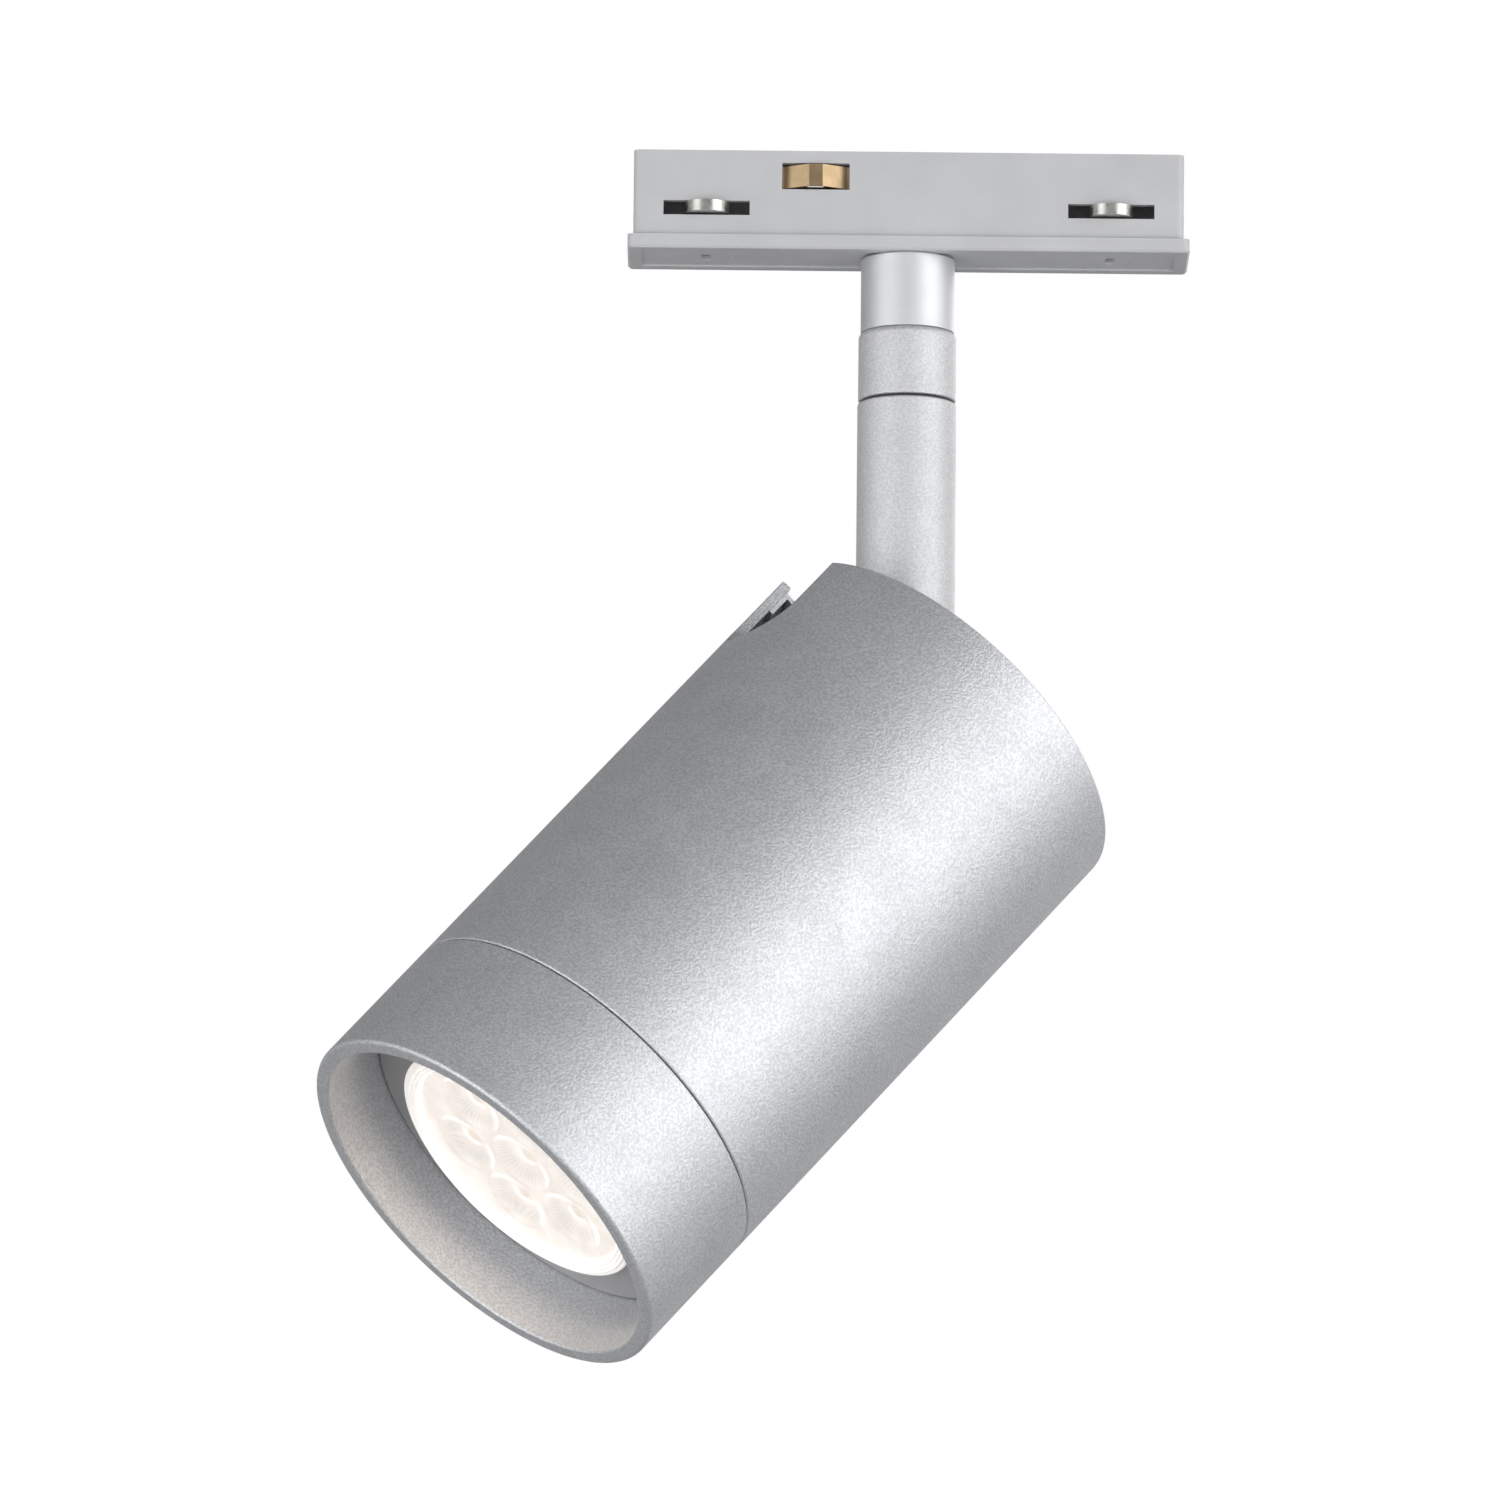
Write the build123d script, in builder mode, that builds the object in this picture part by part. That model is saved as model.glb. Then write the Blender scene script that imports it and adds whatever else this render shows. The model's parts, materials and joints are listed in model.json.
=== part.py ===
"""Track spotlight: a slot adapter, a swivelling stem and a tilting cylindrical head for a reflector lamp.

Frame: millimetres, +Z up, X along the track. The origin is the centre of the adapter's top face,
on the stem's axis, where the adapter seats against the roof of the track's slot. The head hangs
below it, swivelled and tilted to its usual aiming position.
"""
from build123d import *
import os
from math import cos, radians, sin

os.makedirs("parts", exist_ok=True)

# ------------------------------------------------------------------ driving dimensions (mm, degrees)
# Clearances
running_fit = 0.06        # radial, a shaft turning in its hole
face_gap = 0.1            # axial, between faces that turn past each other
loose_gap = 0.3           # between pieces that slide or twist past each other

# Adapter that lies in the track's slot
adapter_length = 100.0
adapter_width = 18.6
adapter_height = 18.0
base_thickness = 2.5
base_corner = 1.2
base_edge = 0.35
panel_border_end = 2.5    # the underside is a shallow sunk panel inside this border
panel_border_side = 3.0
panel_depth = 0.3
housing_inset = 1.0       # housing is narrower than the base plate all round
housing_wall = 1.4
housing_roof = 1.6
snap_post_size = 3.0

# Rotary locks: a slotted knob in the underside turns a tongue out over the track's lips
lock_inset = 14.0         # of each knob's axis from the adapter's end
knob_radius = 4.0
knob_thickness = 1.4
knob_shaft_radius = 2.5
knob_slot_width = 1.6
knob_slot_length = 4.6
knob_slot_depth = 0.9
tongue_reach = 1.7        # of each end past the base plate when turned out
tongue_width = 8.0
tongue_thickness = 2.0
tongue_height = 4.0       # of the tongue's underside over the base plate

# Spring contacts that touch the track's conductors
contact_reach = 0.2       # of the bulge past the base plate's side
contact_thickness = 0.6
contact_height = 4.0
contact_roof_gap = 1.0    # of the contacts below the housing's roof
contact_foot = 2.0
contact_crown = 2.4
window_margin = 0.4

# The bay between the stem's nut and the circle that a tongue sweeps, for contacts and block
bay_start = 9.0
bay_end_gap = 0.8

# Terminal block and its leads
block_side_gap = 1.4
block_height = 7.5
terminal_edge = 0.9       # of plastic outside the outer screws
terminal_screw_radius = 1.2
terminal_screw_height = 1.0
terminal_slot_width = 0.4
terminal_slot_depth = 0.5
lead_socket = 3.75
lead_count = 3
lead_start_angle = 60.0
lead_radius = 0.8
lead_wall_gap = 0.13      # between the leads and the tube's bore
lead_orbit = 1.9          # of each lead from the stem's axis inside the hollow stud
lead_bend = 2.2
lead_arch = 3.4           # of the leads' top run below the adapter's top face

# Stem: smooth sleeve, collar, black friction washer and long tube
neck_radius = 5.0
neck_bore = 3.4
neck_height = 10.0
stem_nut_wall = 1.0
stem_nut_thickness = 3.0
sleeve_radius = 8.35
sleeve_length = 13.4
sleeve_bore = 5.9
sleeve_floor = 4.0
sleeve_edge = 0.3
spigot_gap = 0.5          # between the sleeve's spigot and the stud
collar_radius = 8.7
collar_length = 12.4
collar_floor = 4.0
collar_bore = 7.4
collar_round = 1.1
swivel_gap = 0.5
swivel_washer_inset = 0.6 # of the washer's edge inside the tube's
tube_radius = 8.8
tube_wall = 1.9
tube_length = 54.8
tube_to_pivot = 9.5       # from the tube's lower end to the tilt pivot
tube_edge = 0.4
plug_length = 12.0
stud_radius = 5.0
stop_washer_gap = 0.25    # between the washer's edge and the stop pin
stop_washer_thickness = 0.8
spring_washer_thickness = 0.6
swivel_nut_wall = 0.5
swivel_nut_thickness = 3.4
stud_end = 0.4            # of stud showing above its nut
stop_pin_radius = 0.6
stop_pin_wall_gap = 0.15
stop_pin_height = 1.1
stop_pin_depth = 2.0
stop_tab_width = 1.2

# Tilt joint: a flat knuckle in the tube's end between the two ears of a bracket
knuckle_fit = 0.05        # radial, between the knuckle's corners and the tube's bore
knuckle_eye_wall = 4.0
knuckle_length = 30.0
knuckle_pin_radius = 2.0
knuckle_pin_height = 15.5
tilt_washer_thickness = 0.7
tilt_washer_wall = 3.5
ear_thickness = 2.0
ear_wall = 5.0
bolt_radius = 2.5
bolt_end = 0.7            # of thread showing past the nut
bolt_head_rim = 1.9
bolt_head_height = 2.6
bolt_socket_radius = 2.0
bolt_socket_depth = 1.3
bolt_nut_wall = 1.5
bolt_nut_thickness = 4.0

# Head
rest_tilt = 43.56         # of the beam from straight down
rest_heading = 206.18     # of the beam seen from above, from +X towards +Y
head_radius = 37.5
head_length = 128.0
head_wall = 1.9
head_round = 0.9
rear_to_pivot = 10.0
notch_gap = 0.85          # between the notch's sides and the tube
cap_thickness = 0.8
cap_depth = 1.0           # of the cap below the rear rim
cap_skirt = 5.0

# Front ring and its glare baffle
ring_length = 27.0
ring_mouth_wall = 2.9
ring_seat_wall = 3.2
ring_bore_wall = 4.9
ring_seam = 0.3
ring_outer_round = 1.4
ring_inner_round = 0.9
ring_spigot = 8.0
spring_count = 3
spring_width = 6.0
spring_length = 5.0
spring_thickness = 0.6
baffle_depth = 13.2       # of the baffle's face behind the mouth
baffle_thickness = 1.0
baffle_lamp_gap = 1.0     # between the baffle's hole and the lamp's rim
baffle_skirt = 6.0
baffle_lip = 2.0

# Lamp: 50 mm twist-lock reflector lamp with two mushroom pins
lamp_depth = 9.0          # of the lamp's face behind the mouth
lamp_length = 47.5        # without its pins
lamp_radius = 25.0
lamp_rim_height = 4.6
lamp_wall = 1.2
lamp_rim_width = 2.6
lamp_lens_thickness = 1.6
lamp_rim_step = 0.5       # of the rim's edge behind the lens
lamp_back_radius = 15.0
lamp_base_radius = 14.0
lamp_base_length = 12.5
optic_count = 6
optic_edge = 2.6          # between the outer optics and the lens's edge
optic_top_radius = 6.2
optic_foot_radius = 2.6
optic_height = 6.4
optic_plate = 1.0
board_thickness = 1.6
led_size = 3.6
led_thickness = 0.9
heatsink_wall_gap = 0.6
pin_pitch = 10.0
pin_neck_radius = 1.5
pin_neck_length = 4.6
pin_head_radius = 2.5
pin_head_height = 3.0
pin_round = 0.5
unlock_angle = 25.0

# Lamp holder and the bracket that carries it
holder_gap = 0.5
holder_depth = 20.0
holder_width = 17.0
holder_length = 32.0
holder_corner = 3.0
holder_face = 3.4
holder_cavity = 5.0
holder_screw_spacing = 24.0
holder_screw_radius = 1.5
holder_screw_head = 2.8
holder_screw_length = 9.0
screw_head_height = 2.0
screw_cross_width = 0.8
screw_cross_depth = 1.0
bracket_thickness = 2.0
bracket_width = 24.0
bracket_end_gap = 2.4     # between the bracket's corners and the housing's bore
bracket_lead_hole = 4.0
boss_width = 12.0
boss_length = 14.0
boss_depth = 10.6         # from the housing's bore
boss_screw_inset = 7.1    # from the housing's bore
boss_screw_radius = 2.0
boss_screw_head = 3.6
boss_screw_length = 9.0
head_lead_end = 9.5       # of the head's leads below the pivot

# ------------------------------------------------------------------------------- derived places
underside_z = -adapter_height
base_top_z = underside_z + base_thickness
housing_width = adapter_width - 2 * housing_inset
housing_length = adapter_length - 2 * housing_inset
inner_width = housing_width - 2 * housing_wall
inner_length = housing_length - 2 * housing_wall
lock_spacing = adapter_length - 2 * lock_inset
tongue_length = adapter_width + 2 * tongue_reach
tongue_z = base_top_z + tongue_height
bay_end = (lock_spacing - tongue_length) / 2 - bay_end_gap
bay_middle = (bay_start + bay_end) / 2
bay_quarter = (bay_end - bay_start) / 4
contact_z = -housing_roof - contact_roof_gap - contact_height
block_top_z = base_top_z + block_height
block_width = inner_width - 2 * block_side_gap
terminal_pitch = block_width / 2 - terminal_edge - terminal_screw_radius

neck_top_z = underside_z + neck_height
sleeve_end_z = underside_z - sleeve_length
collar_end_z = sleeve_end_z - collar_length
collar_floor_z = collar_end_z + collar_floor
tube_top_z = collar_end_z - swivel_gap
tube_end_z = tube_top_z - tube_length
pivot_z = tube_end_z - tube_to_pivot
tube_bore = tube_radius - tube_wall
swivel_washer_radius = tube_radius - swivel_washer_inset
stop_pin_orbit = collar_bore - stop_pin_radius - stop_pin_wall_gap
stop_washer_radius = stop_pin_orbit - stop_pin_radius - stop_washer_gap
stop_washer_z = collar_floor_z + face_gap
spring_washer_z = stop_washer_z + stop_washer_thickness
swivel_nut_z = spring_washer_z + spring_washer_thickness
stud_top_z = swivel_nut_z + swivel_nut_thickness + stud_end
spigot_end_z = stud_top_z + spigot_gap

# The leads pass down the tube on the flat sides of the knuckle, clear of its cross pin.
spread_orbit = tube_bore - lead_wall_gap - lead_radius
spread_x = knuckle_pin_radius + loose_gap + lead_radius
spread_y = (spread_orbit ** 2 - spread_x ** 2) ** 0.5
knuckle_thickness = 2 * (spread_y - lead_radius - loose_gap)
knuckle_width = 2 * ((tube_bore - knuckle_fit) ** 2 - (knuckle_thickness / 2) ** 2) ** 0.5

# The head's own frame: x towards the notch, y along the tilt axis, z from the mouth to the rear.
up = Vector(0, 0, 1)
beam_flat = Vector(cos(radians(rest_heading)), sin(radians(rest_heading)), 0)
rear_dir = up * cos(radians(rest_tilt)) - beam_flat * sin(radians(rest_tilt))
notch_dir = beam_flat * cos(radians(rest_tilt)) + up * sin(radians(rest_tilt))
tilt_dir = rear_dir.cross(notch_dir)
pivot = Vector(0, 0, pivot_z)
head_plane = Plane(origin=pivot, x_dir=notch_dir, z_dir=rear_dir)
head_side = Plane(origin=pivot, x_dir=notch_dir, z_dir=notch_dir.cross(rear_dir))
notch_plane = Plane(origin=pivot, x_dir=tilt_dir, z_dir=notch_dir)
tilt_plane = Plane(origin=pivot, x_dir=beam_flat, z_dir=beam_flat.cross(up))
head_axis = Axis(pivot, rear_dir)

# Heights along the head's axis, from the pivot towards the rear
rear_h = rear_to_pivot
mouth_h = rear_h - head_length
seam_h = mouth_h + ring_length
head_bore = head_radius - head_wall
notch_radius = tube_radius + notch_gap
boss_screw_spacing = 2 * (head_bore - boss_screw_inset)
bracket_length = 2 * ((head_bore - bracket_end_gap) ** 2 - (bracket_width / 2) ** 2) ** 0.5
ring_mouth_radius = head_radius - ring_mouth_wall
ring_seat_radius = head_radius - ring_seat_wall
ring_bore = head_radius - ring_bore_wall
baffle_hole = lamp_radius + baffle_lamp_gap
lamp_lens_radius = lamp_radius - lamp_rim_width
optic_orbit = lamp_lens_radius - optic_edge - optic_top_radius
baffle_h = mouth_h + baffle_depth
ledge_h = baffle_h + baffle_thickness
spigot_end_h = seam_h + ring_spigot
lamp_face_h = mouth_h + lamp_depth
lamp_end_h = lamp_face_h + lamp_length
lamp_base_h = lamp_end_h - lamp_base_length
lens_back_h = lamp_face_h + lamp_lens_thickness
board_h = lens_back_h + optic_plate + optic_height + led_thickness
heatsink_h = board_h + board_thickness
holder_face_h = lamp_end_h + holder_gap
holder_back_h = holder_face_h + holder_depth
bracket_top_h = holder_back_h + bracket_thickness
cap_top_h = rear_h - cap_depth
ear_inner = knuckle_thickness / 2 + tilt_washer_thickness + face_gap
ear_outer = ear_inner + ear_thickness


# ---------------------------------------------------------------------------------- the adapter
with BuildPart() as adapter_base:
    with BuildSketch(Plane.XY.offset(underside_z)):
        RectangleRounded(adapter_length, adapter_width, base_corner)
    extrude(amount=base_thickness)
    chamfer(adapter_base.edges().group_by(Axis.Z)[0], base_edge)
    with BuildSketch(Plane.XY.offset(underside_z)):
        Rectangle(adapter_length - 2 * panel_border_end, adapter_width - 2 * panel_border_side)
    extrude(amount=panel_depth, mode=Mode.SUBTRACT)
    with BuildSketch(Plane.XY.offset(underside_z)):
        Circle(neck_radius)
        with GridLocations(lock_spacing, 1, 2, 1):
            Circle(knob_shaft_radius + running_fit)
    extrude(amount=base_thickness, mode=Mode.SUBTRACT)
    with BuildSketch(Plane.XY.offset(underside_z)):
        with GridLocations(lock_spacing, 1, 2, 1):
            Circle(knob_radius + running_fit)
    extrude(amount=panel_depth + knob_thickness + face_gap, mode=Mode.SUBTRACT)
    with BuildSketch(Plane.XY.offset(base_top_z)):
        with GridLocations(inner_length - snap_post_size, 1, 2, 1):
            Rectangle(snap_post_size, inner_width)
    extrude(amount=snap_post_size)
adapter_base.part.label = "adapter_base"
export_step(adapter_base.part, "parts/adapter_base.step")

# Each contact lies on the inside of a side wall and bulges out through its window.
contact_places = {"line_contact": (-1, 1), "neutral_contact": (-1, -1), "earth_contact": (1, 1)}
contact_bulge = bay_end - bay_start - 2 * contact_foot

with BuildPart() as adapter_housing:
    with BuildSketch(Plane.XY.offset(base_top_z)):
        RectangleRounded(housing_length, housing_width, base_corner)
    extrude(amount=-base_top_z)
    with BuildSketch(Plane.XY.offset(base_top_z)):
        Rectangle(inner_length, inner_width)
    extrude(amount=-base_top_z - housing_roof, mode=Mode.SUBTRACT)
    with BuildSketch(Plane.XY.offset(-housing_roof)):
        with GridLocations(lock_spacing, 1, 2, 1):
            Circle(knob_shaft_radius + running_fit)
    extrude(amount=housing_roof, mode=Mode.SUBTRACT)
    with BuildSketch(Plane.XY.offset(tongue_z - loose_gap)):
        with GridLocations(lock_spacing, 1, 2, 1):
            Circle(tongue_length / 2 + loose_gap)
    extrude(amount=tongue_thickness + 2 * loose_gap, mode=Mode.SUBTRACT)
    with BuildSketch(Plane.XY.offset(contact_z - window_margin)):
        for along, side in contact_places.values():
            with Locations((along * bay_middle, side * (housing_width - housing_wall) / 2)):
                Rectangle(contact_bulge + 2 * window_margin, 2 * housing_wall)
    extrude(amount=contact_height + 2 * window_margin, mode=Mode.SUBTRACT)
adapter_housing.part.label = "adapter_housing"
export_step(adapter_housing.part, "parts/adapter_housing.step")

for name, (along, side) in contact_places.items():
    wall_y = inner_width / 2
    crown_y = adapter_width / 2 + contact_reach
    outer = [
        (bay_start, wall_y),
        (bay_start + contact_foot, wall_y),
        (bay_middle - contact_crown / 2, crown_y),
        (bay_middle + contact_crown / 2, crown_y),
        (bay_end - contact_foot, wall_y),
        (bay_end, wall_y),
    ]
    outline = outer + [(x, y - contact_thickness) for x, y in reversed(outer)]
    with BuildPart() as contact:
        with BuildSketch(Plane.XY.offset(contact_z)):
            with BuildLine():
                Polyline(*[(along * x, side * y) for x, y in outline], close=True)
            make_face()
        extrude(amount=contact_height)
    contact.part.label = name
    export_step(contact.part, f"parts/{name}.step")

# Rotary locks, tongues turned across the adapter
for name, lock_x in (("left", -lock_spacing / 2), ("right", lock_spacing / 2)):
    knob_bottom_z = underside_z + panel_depth
    with BuildPart() as lock_knob:
        with BuildSketch(Plane.XY.offset(knob_bottom_z)):
            with Locations((lock_x, 0)):
                Circle(knob_radius)
        extrude(amount=knob_thickness)
        with BuildSketch(Plane.XY.offset(knob_bottom_z)):
            with Locations((lock_x, 0)):
                Circle(knob_shaft_radius)
        extrude(amount=-knob_bottom_z - face_gap)
        with BuildSketch(Plane.XY.offset(knob_bottom_z)):
            with Locations((lock_x, 0)):
                Rectangle(knob_slot_width, knob_slot_length)
        extrude(amount=knob_slot_depth, mode=Mode.SUBTRACT)
    lock_knob.part.label = f"lock_knob_{name}"
    export_step(lock_knob.part, f"parts/lock_knob_{name}.step")

    with BuildPart() as lock_tongue:
        with BuildSketch(Plane.XY.offset(tongue_z)):
            with Locations((lock_x, 0)):
                SlotOverall(tongue_length, tongue_width, rotation=90)
                Circle(knob_shaft_radius, mode=Mode.SUBTRACT)
        extrude(amount=tongue_thickness)
    lock_tongue.part.label = f"lock_tongue_{name}"
    export_step(lock_tongue.part, f"parts/lock_tongue_{name}.step")

# Terminal block: leads come up out of its top on the stem's side, screws stand on the other
lead_x = bay_middle - bay_quarter
screw_x = bay_middle + bay_quarter
with BuildPart() as terminal_block:
    with BuildSketch(Plane.XY.offset(base_top_z)):
        with Locations((bay_middle, 0)):
            RectangleRounded(bay_end - bay_start, block_width, base_corner)
    extrude(amount=block_height)
    with BuildSketch(Plane.XY.offset(block_top_z)):
        with Locations((lead_x, 0)):
            with GridLocations(1, terminal_pitch, 1, lead_count):
                Circle(lead_radius)
    extrude(amount=-lead_socket, mode=Mode.SUBTRACT)
    with BuildSketch(Plane.XY.offset(block_top_z)):
        with Locations((screw_x, 0)):
            with GridLocations(1, terminal_pitch, 1, lead_count):
                Circle(terminal_screw_radius)
    extrude(amount=-lead_socket, mode=Mode.SUBTRACT)
terminal_block.part.label = "terminal_block"
export_step(terminal_block.part, "parts/terminal_block.step")

with BuildPart() as terminal_screws:
    with BuildSketch(Plane.XY.offset(block_top_z - lead_socket)):
        with Locations((screw_x, 0)):
            with GridLocations(1, terminal_pitch, 1, lead_count):
                Circle(terminal_screw_radius)
    extrude(amount=lead_socket + terminal_screw_height)
    with BuildSketch(Plane.XY.offset(block_top_z + terminal_screw_height)):
        with Locations((screw_x, 0)):
            with GridLocations(1, terminal_pitch, 1, lead_count):
                Rectangle(2 * terminal_screw_radius, terminal_slot_width)
    extrude(amount=-terminal_slot_depth, mode=Mode.SUBTRACT)
terminal_screws.part.label = "terminal_screws"
export_step(terminal_screws.part, "parts/terminal_screws.step")

# ------------------------------------------------------------------------------- the fixed stem
with BuildPart() as stem_sleeve:
    with BuildSketch(Plane.XZ):
        with BuildLine():
            Polyline(
                (neck_bore, neck_top_z),
                (neck_radius, neck_top_z),
                (neck_radius, underside_z),
                (sleeve_radius - sleeve_edge, underside_z),
                (sleeve_radius, underside_z - sleeve_edge),
                (sleeve_radius, sleeve_end_z),
                (collar_bore, sleeve_end_z),
                (collar_bore, spigot_end_z),
                (sleeve_bore, spigot_end_z),
                (sleeve_bore, underside_z - sleeve_floor),
                (neck_bore, underside_z - sleeve_floor),
                close=True,
            )
        make_face()
    revolve(axis=Axis.Z)
stem_sleeve.part.label = "stem_sleeve"
export_step(stem_sleeve.part, "parts/stem_sleeve.step")

with BuildPart() as stem_nut:
    with BuildSketch(Plane.XY.offset(base_top_z)):
        RegularPolygon(neck_radius + stem_nut_wall, 6, major_radius=False)
        Circle(neck_radius, mode=Mode.SUBTRACT)
    extrude(amount=stem_nut_thickness)
stem_nut.part.label = "stem_nut"
export_step(stem_nut.part, "parts/stem_nut.step")

with BuildPart() as swivel_collar:
    with BuildSketch(Plane.XY.offset(collar_end_z)):
        Circle(collar_radius)
    extrude(amount=collar_length)
    fillet(swivel_collar.edges().group_by(Axis.Z)[-1], collar_round)
    with BuildSketch(Plane.XY.offset(collar_floor_z)):
        Circle(collar_bore)
    extrude(amount=collar_length - collar_floor, mode=Mode.SUBTRACT)
    with BuildSketch(Plane.XY.offset(collar_end_z)):
        Circle(stud_radius + running_fit)
    extrude(amount=collar_floor, mode=Mode.SUBTRACT)
    with BuildSketch(Plane.XY.offset(collar_floor_z)):
        with Locations((stop_pin_orbit, 0)):
            Circle(stop_pin_radius)
    extrude(amount=-stop_pin_depth, mode=Mode.SUBTRACT)
swivel_collar.part.label = "swivel_collar"
export_step(swivel_collar.part, "parts/swivel_collar.step")

with BuildPart() as stop_pin:
    with BuildSketch(Plane.XY.offset(collar_floor_z - stop_pin_depth)):
        with Locations((stop_pin_orbit, 0)):
            Circle(stop_pin_radius)
    extrude(amount=stop_pin_depth + stop_pin_height)
stop_pin.part.label = "stop_pin"
export_step(stop_pin.part, "parts/stop_pin.step")

# Mains leads: up out of the terminal block, over the neck and down inside the stem
supply_end_z = stud_top_z + 2 * loose_gap
with BuildPart() as supply_leads:
    for pole in range(lead_count):
        angle = radians(lead_start_angle + 360 / lead_count * pole)
        lead_y = ((lead_count - 1) / 2 - pole) * terminal_pitch
        bore_x = lead_orbit * cos(angle)
        bore_y = lead_orbit * sin(angle)
        with BuildLine() as lead_path:
            FilletPolyline(
                (lead_x, lead_y, block_top_z - lead_socket),
                (lead_x, lead_y, -lead_arch),
                (bore_x, bore_y, -lead_arch),
                (bore_x, bore_y, supply_end_z),
                radius=lead_bend,
            )
        with BuildSketch(Plane(origin=lead_path.line @ 0, z_dir=lead_path.line % 0)):
            Circle(lead_radius)
        sweep(path=lead_path.line)
supply_leads.part.label = "supply_leads"
export_step(supply_leads.part, "parts/supply_leads.step")

# ---------------------------------------------------------------------------- the swivelling arm
with BuildPart() as swivel_stud:
    with BuildSketch(Plane.XY.offset(tube_top_z - plug_length)):
        Circle(stud_radius)
        Circle(neck_bore, mode=Mode.SUBTRACT)
    extrude(amount=stud_top_z - tube_top_z + plug_length)
swivel_stud.part.label = "swivel_stud"
export_step(swivel_stud.part, "parts/swivel_stud.step")

with BuildPart() as stop_washer:
    with BuildSketch(Plane.XY.offset(stop_washer_z)):
        Circle(stop_washer_radius)
        with Locations((-stop_washer_radius, 0)):
            Rectangle(2 * (collar_bore - loose_gap - stop_washer_radius), stop_tab_width)
        Circle(stud_radius, mode=Mode.SUBTRACT)
    extrude(amount=stop_washer_thickness)
stop_washer.part.label = "stop_washer"
export_step(stop_washer.part, "parts/stop_washer.step")

with BuildPart() as spring_washer:
    with BuildSketch(Plane.XY.offset(spring_washer_z)):
        Circle(stop_washer_radius)
        Circle(stud_radius, mode=Mode.SUBTRACT)
    extrude(amount=spring_washer_thickness)
spring_washer.part.label = "spring_washer"
export_step(spring_washer.part, "parts/spring_washer.step")

with BuildPart() as swivel_nut:
    with BuildSketch(Plane.XY.offset(swivel_nut_z)):
        RegularPolygon(stud_radius + swivel_nut_wall, 6, major_radius=False)
        Circle(stud_radius, mode=Mode.SUBTRACT)
    extrude(amount=swivel_nut_thickness)
swivel_nut.part.label = "swivel_nut"
export_step(swivel_nut.part, "parts/swivel_nut.step")

with BuildPart() as swivel_washer:
    with BuildSketch(Plane.XY.offset(tube_top_z)):
        Circle(swivel_washer_radius)
        Circle(stud_radius, mode=Mode.SUBTRACT)
    extrude(amount=swivel_gap - face_gap)
swivel_washer.part.label = "swivel_washer"
export_step(swivel_washer.part, "parts/swivel_washer.step")

with BuildPart() as tube_plug:
    with BuildSketch(Plane.XY.offset(tube_top_z - plug_length)):
        Circle(tube_bore)
        Circle(stud_radius, mode=Mode.SUBTRACT)
    extrude(amount=plug_length)
tube_plug.part.label = "tube_plug"
export_step(tube_plug.part, "parts/tube_plug.step")

with BuildPart() as stem_tube:
    with BuildSketch(Plane.XY.offset(tube_end_z)):
        Circle(tube_radius)
    extrude(amount=tube_length)
    fillet(stem_tube.edges().filter_by(GeomType.CIRCLE), tube_edge)
    with BuildSketch(Plane.XY.offset(tube_end_z)):
        Circle(tube_bore)
    extrude(amount=tube_length, mode=Mode.SUBTRACT)
    with BuildSketch(tilt_plane):
        with Locations((0, knuckle_pin_height)):
            Circle(knuckle_pin_radius)
    extrude(amount=tube_radius, both=True, mode=Mode.SUBTRACT)
stem_tube.part.label = "stem_tube"
export_step(stem_tube.part, "parts/stem_tube.step")

with BuildPart() as tilt_knuckle:
    with BuildSketch(tilt_plane):
        Circle(bolt_radius + knuckle_eye_wall)
        with Locations((0, knuckle_length / 2)):
            Rectangle(knuckle_width, knuckle_length)
        Circle(bolt_radius + running_fit, mode=Mode.SUBTRACT)
        with Locations((0, knuckle_pin_height)):
            Circle(knuckle_pin_radius, mode=Mode.SUBTRACT)
    extrude(amount=knuckle_thickness / 2, both=True)
tilt_knuckle.part.label = "tilt_knuckle"
export_step(tilt_knuckle.part, "parts/tilt_knuckle.step")

with BuildPart() as knuckle_pin:
    with BuildSketch(tilt_plane):
        with Locations((0, knuckle_pin_height)):
            Circle(knuckle_pin_radius)
    extrude(amount=(tube_radius ** 2 - knuckle_pin_radius ** 2) ** 0.5, both=True)
knuckle_pin.part.label = "knuckle_pin"
export_step(knuckle_pin.part, "parts/knuckle_pin.step")

spread_top_z = tube_top_z - plug_length - lead_bend
spread_low_z = pivot_z + knuckle_length + lead_bend
with BuildPart() as stem_leads:
    for side_x, side_y in ((1, 1), (-1, 1), (1, -1)):
        outward = (beam_flat * (side_x * spread_x) + tilt_dir * (side_y * spread_y)).normalized()
        inner_run = pivot + outward * lead_orbit
        outer_run = pivot + outward * spread_orbit
        with BuildLine() as lead_path:
            FilletPolyline(
                (inner_run.X, inner_run.Y, stud_top_z),
                (inner_run.X, inner_run.Y, spread_top_z),
                (outer_run.X, outer_run.Y, spread_low_z),
                (outer_run.X, outer_run.Y, tube_end_z + tube_edge),
                radius=2 * lead_bend,
            )
        with BuildSketch(Plane(origin=lead_path.line @ 0, z_dir=lead_path.line % 0)):
            Circle(lead_radius)
        sweep(path=lead_path.line)
stem_leads.part.label = "stem_leads"
export_step(stem_leads.part, "parts/stem_leads.step")

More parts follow.
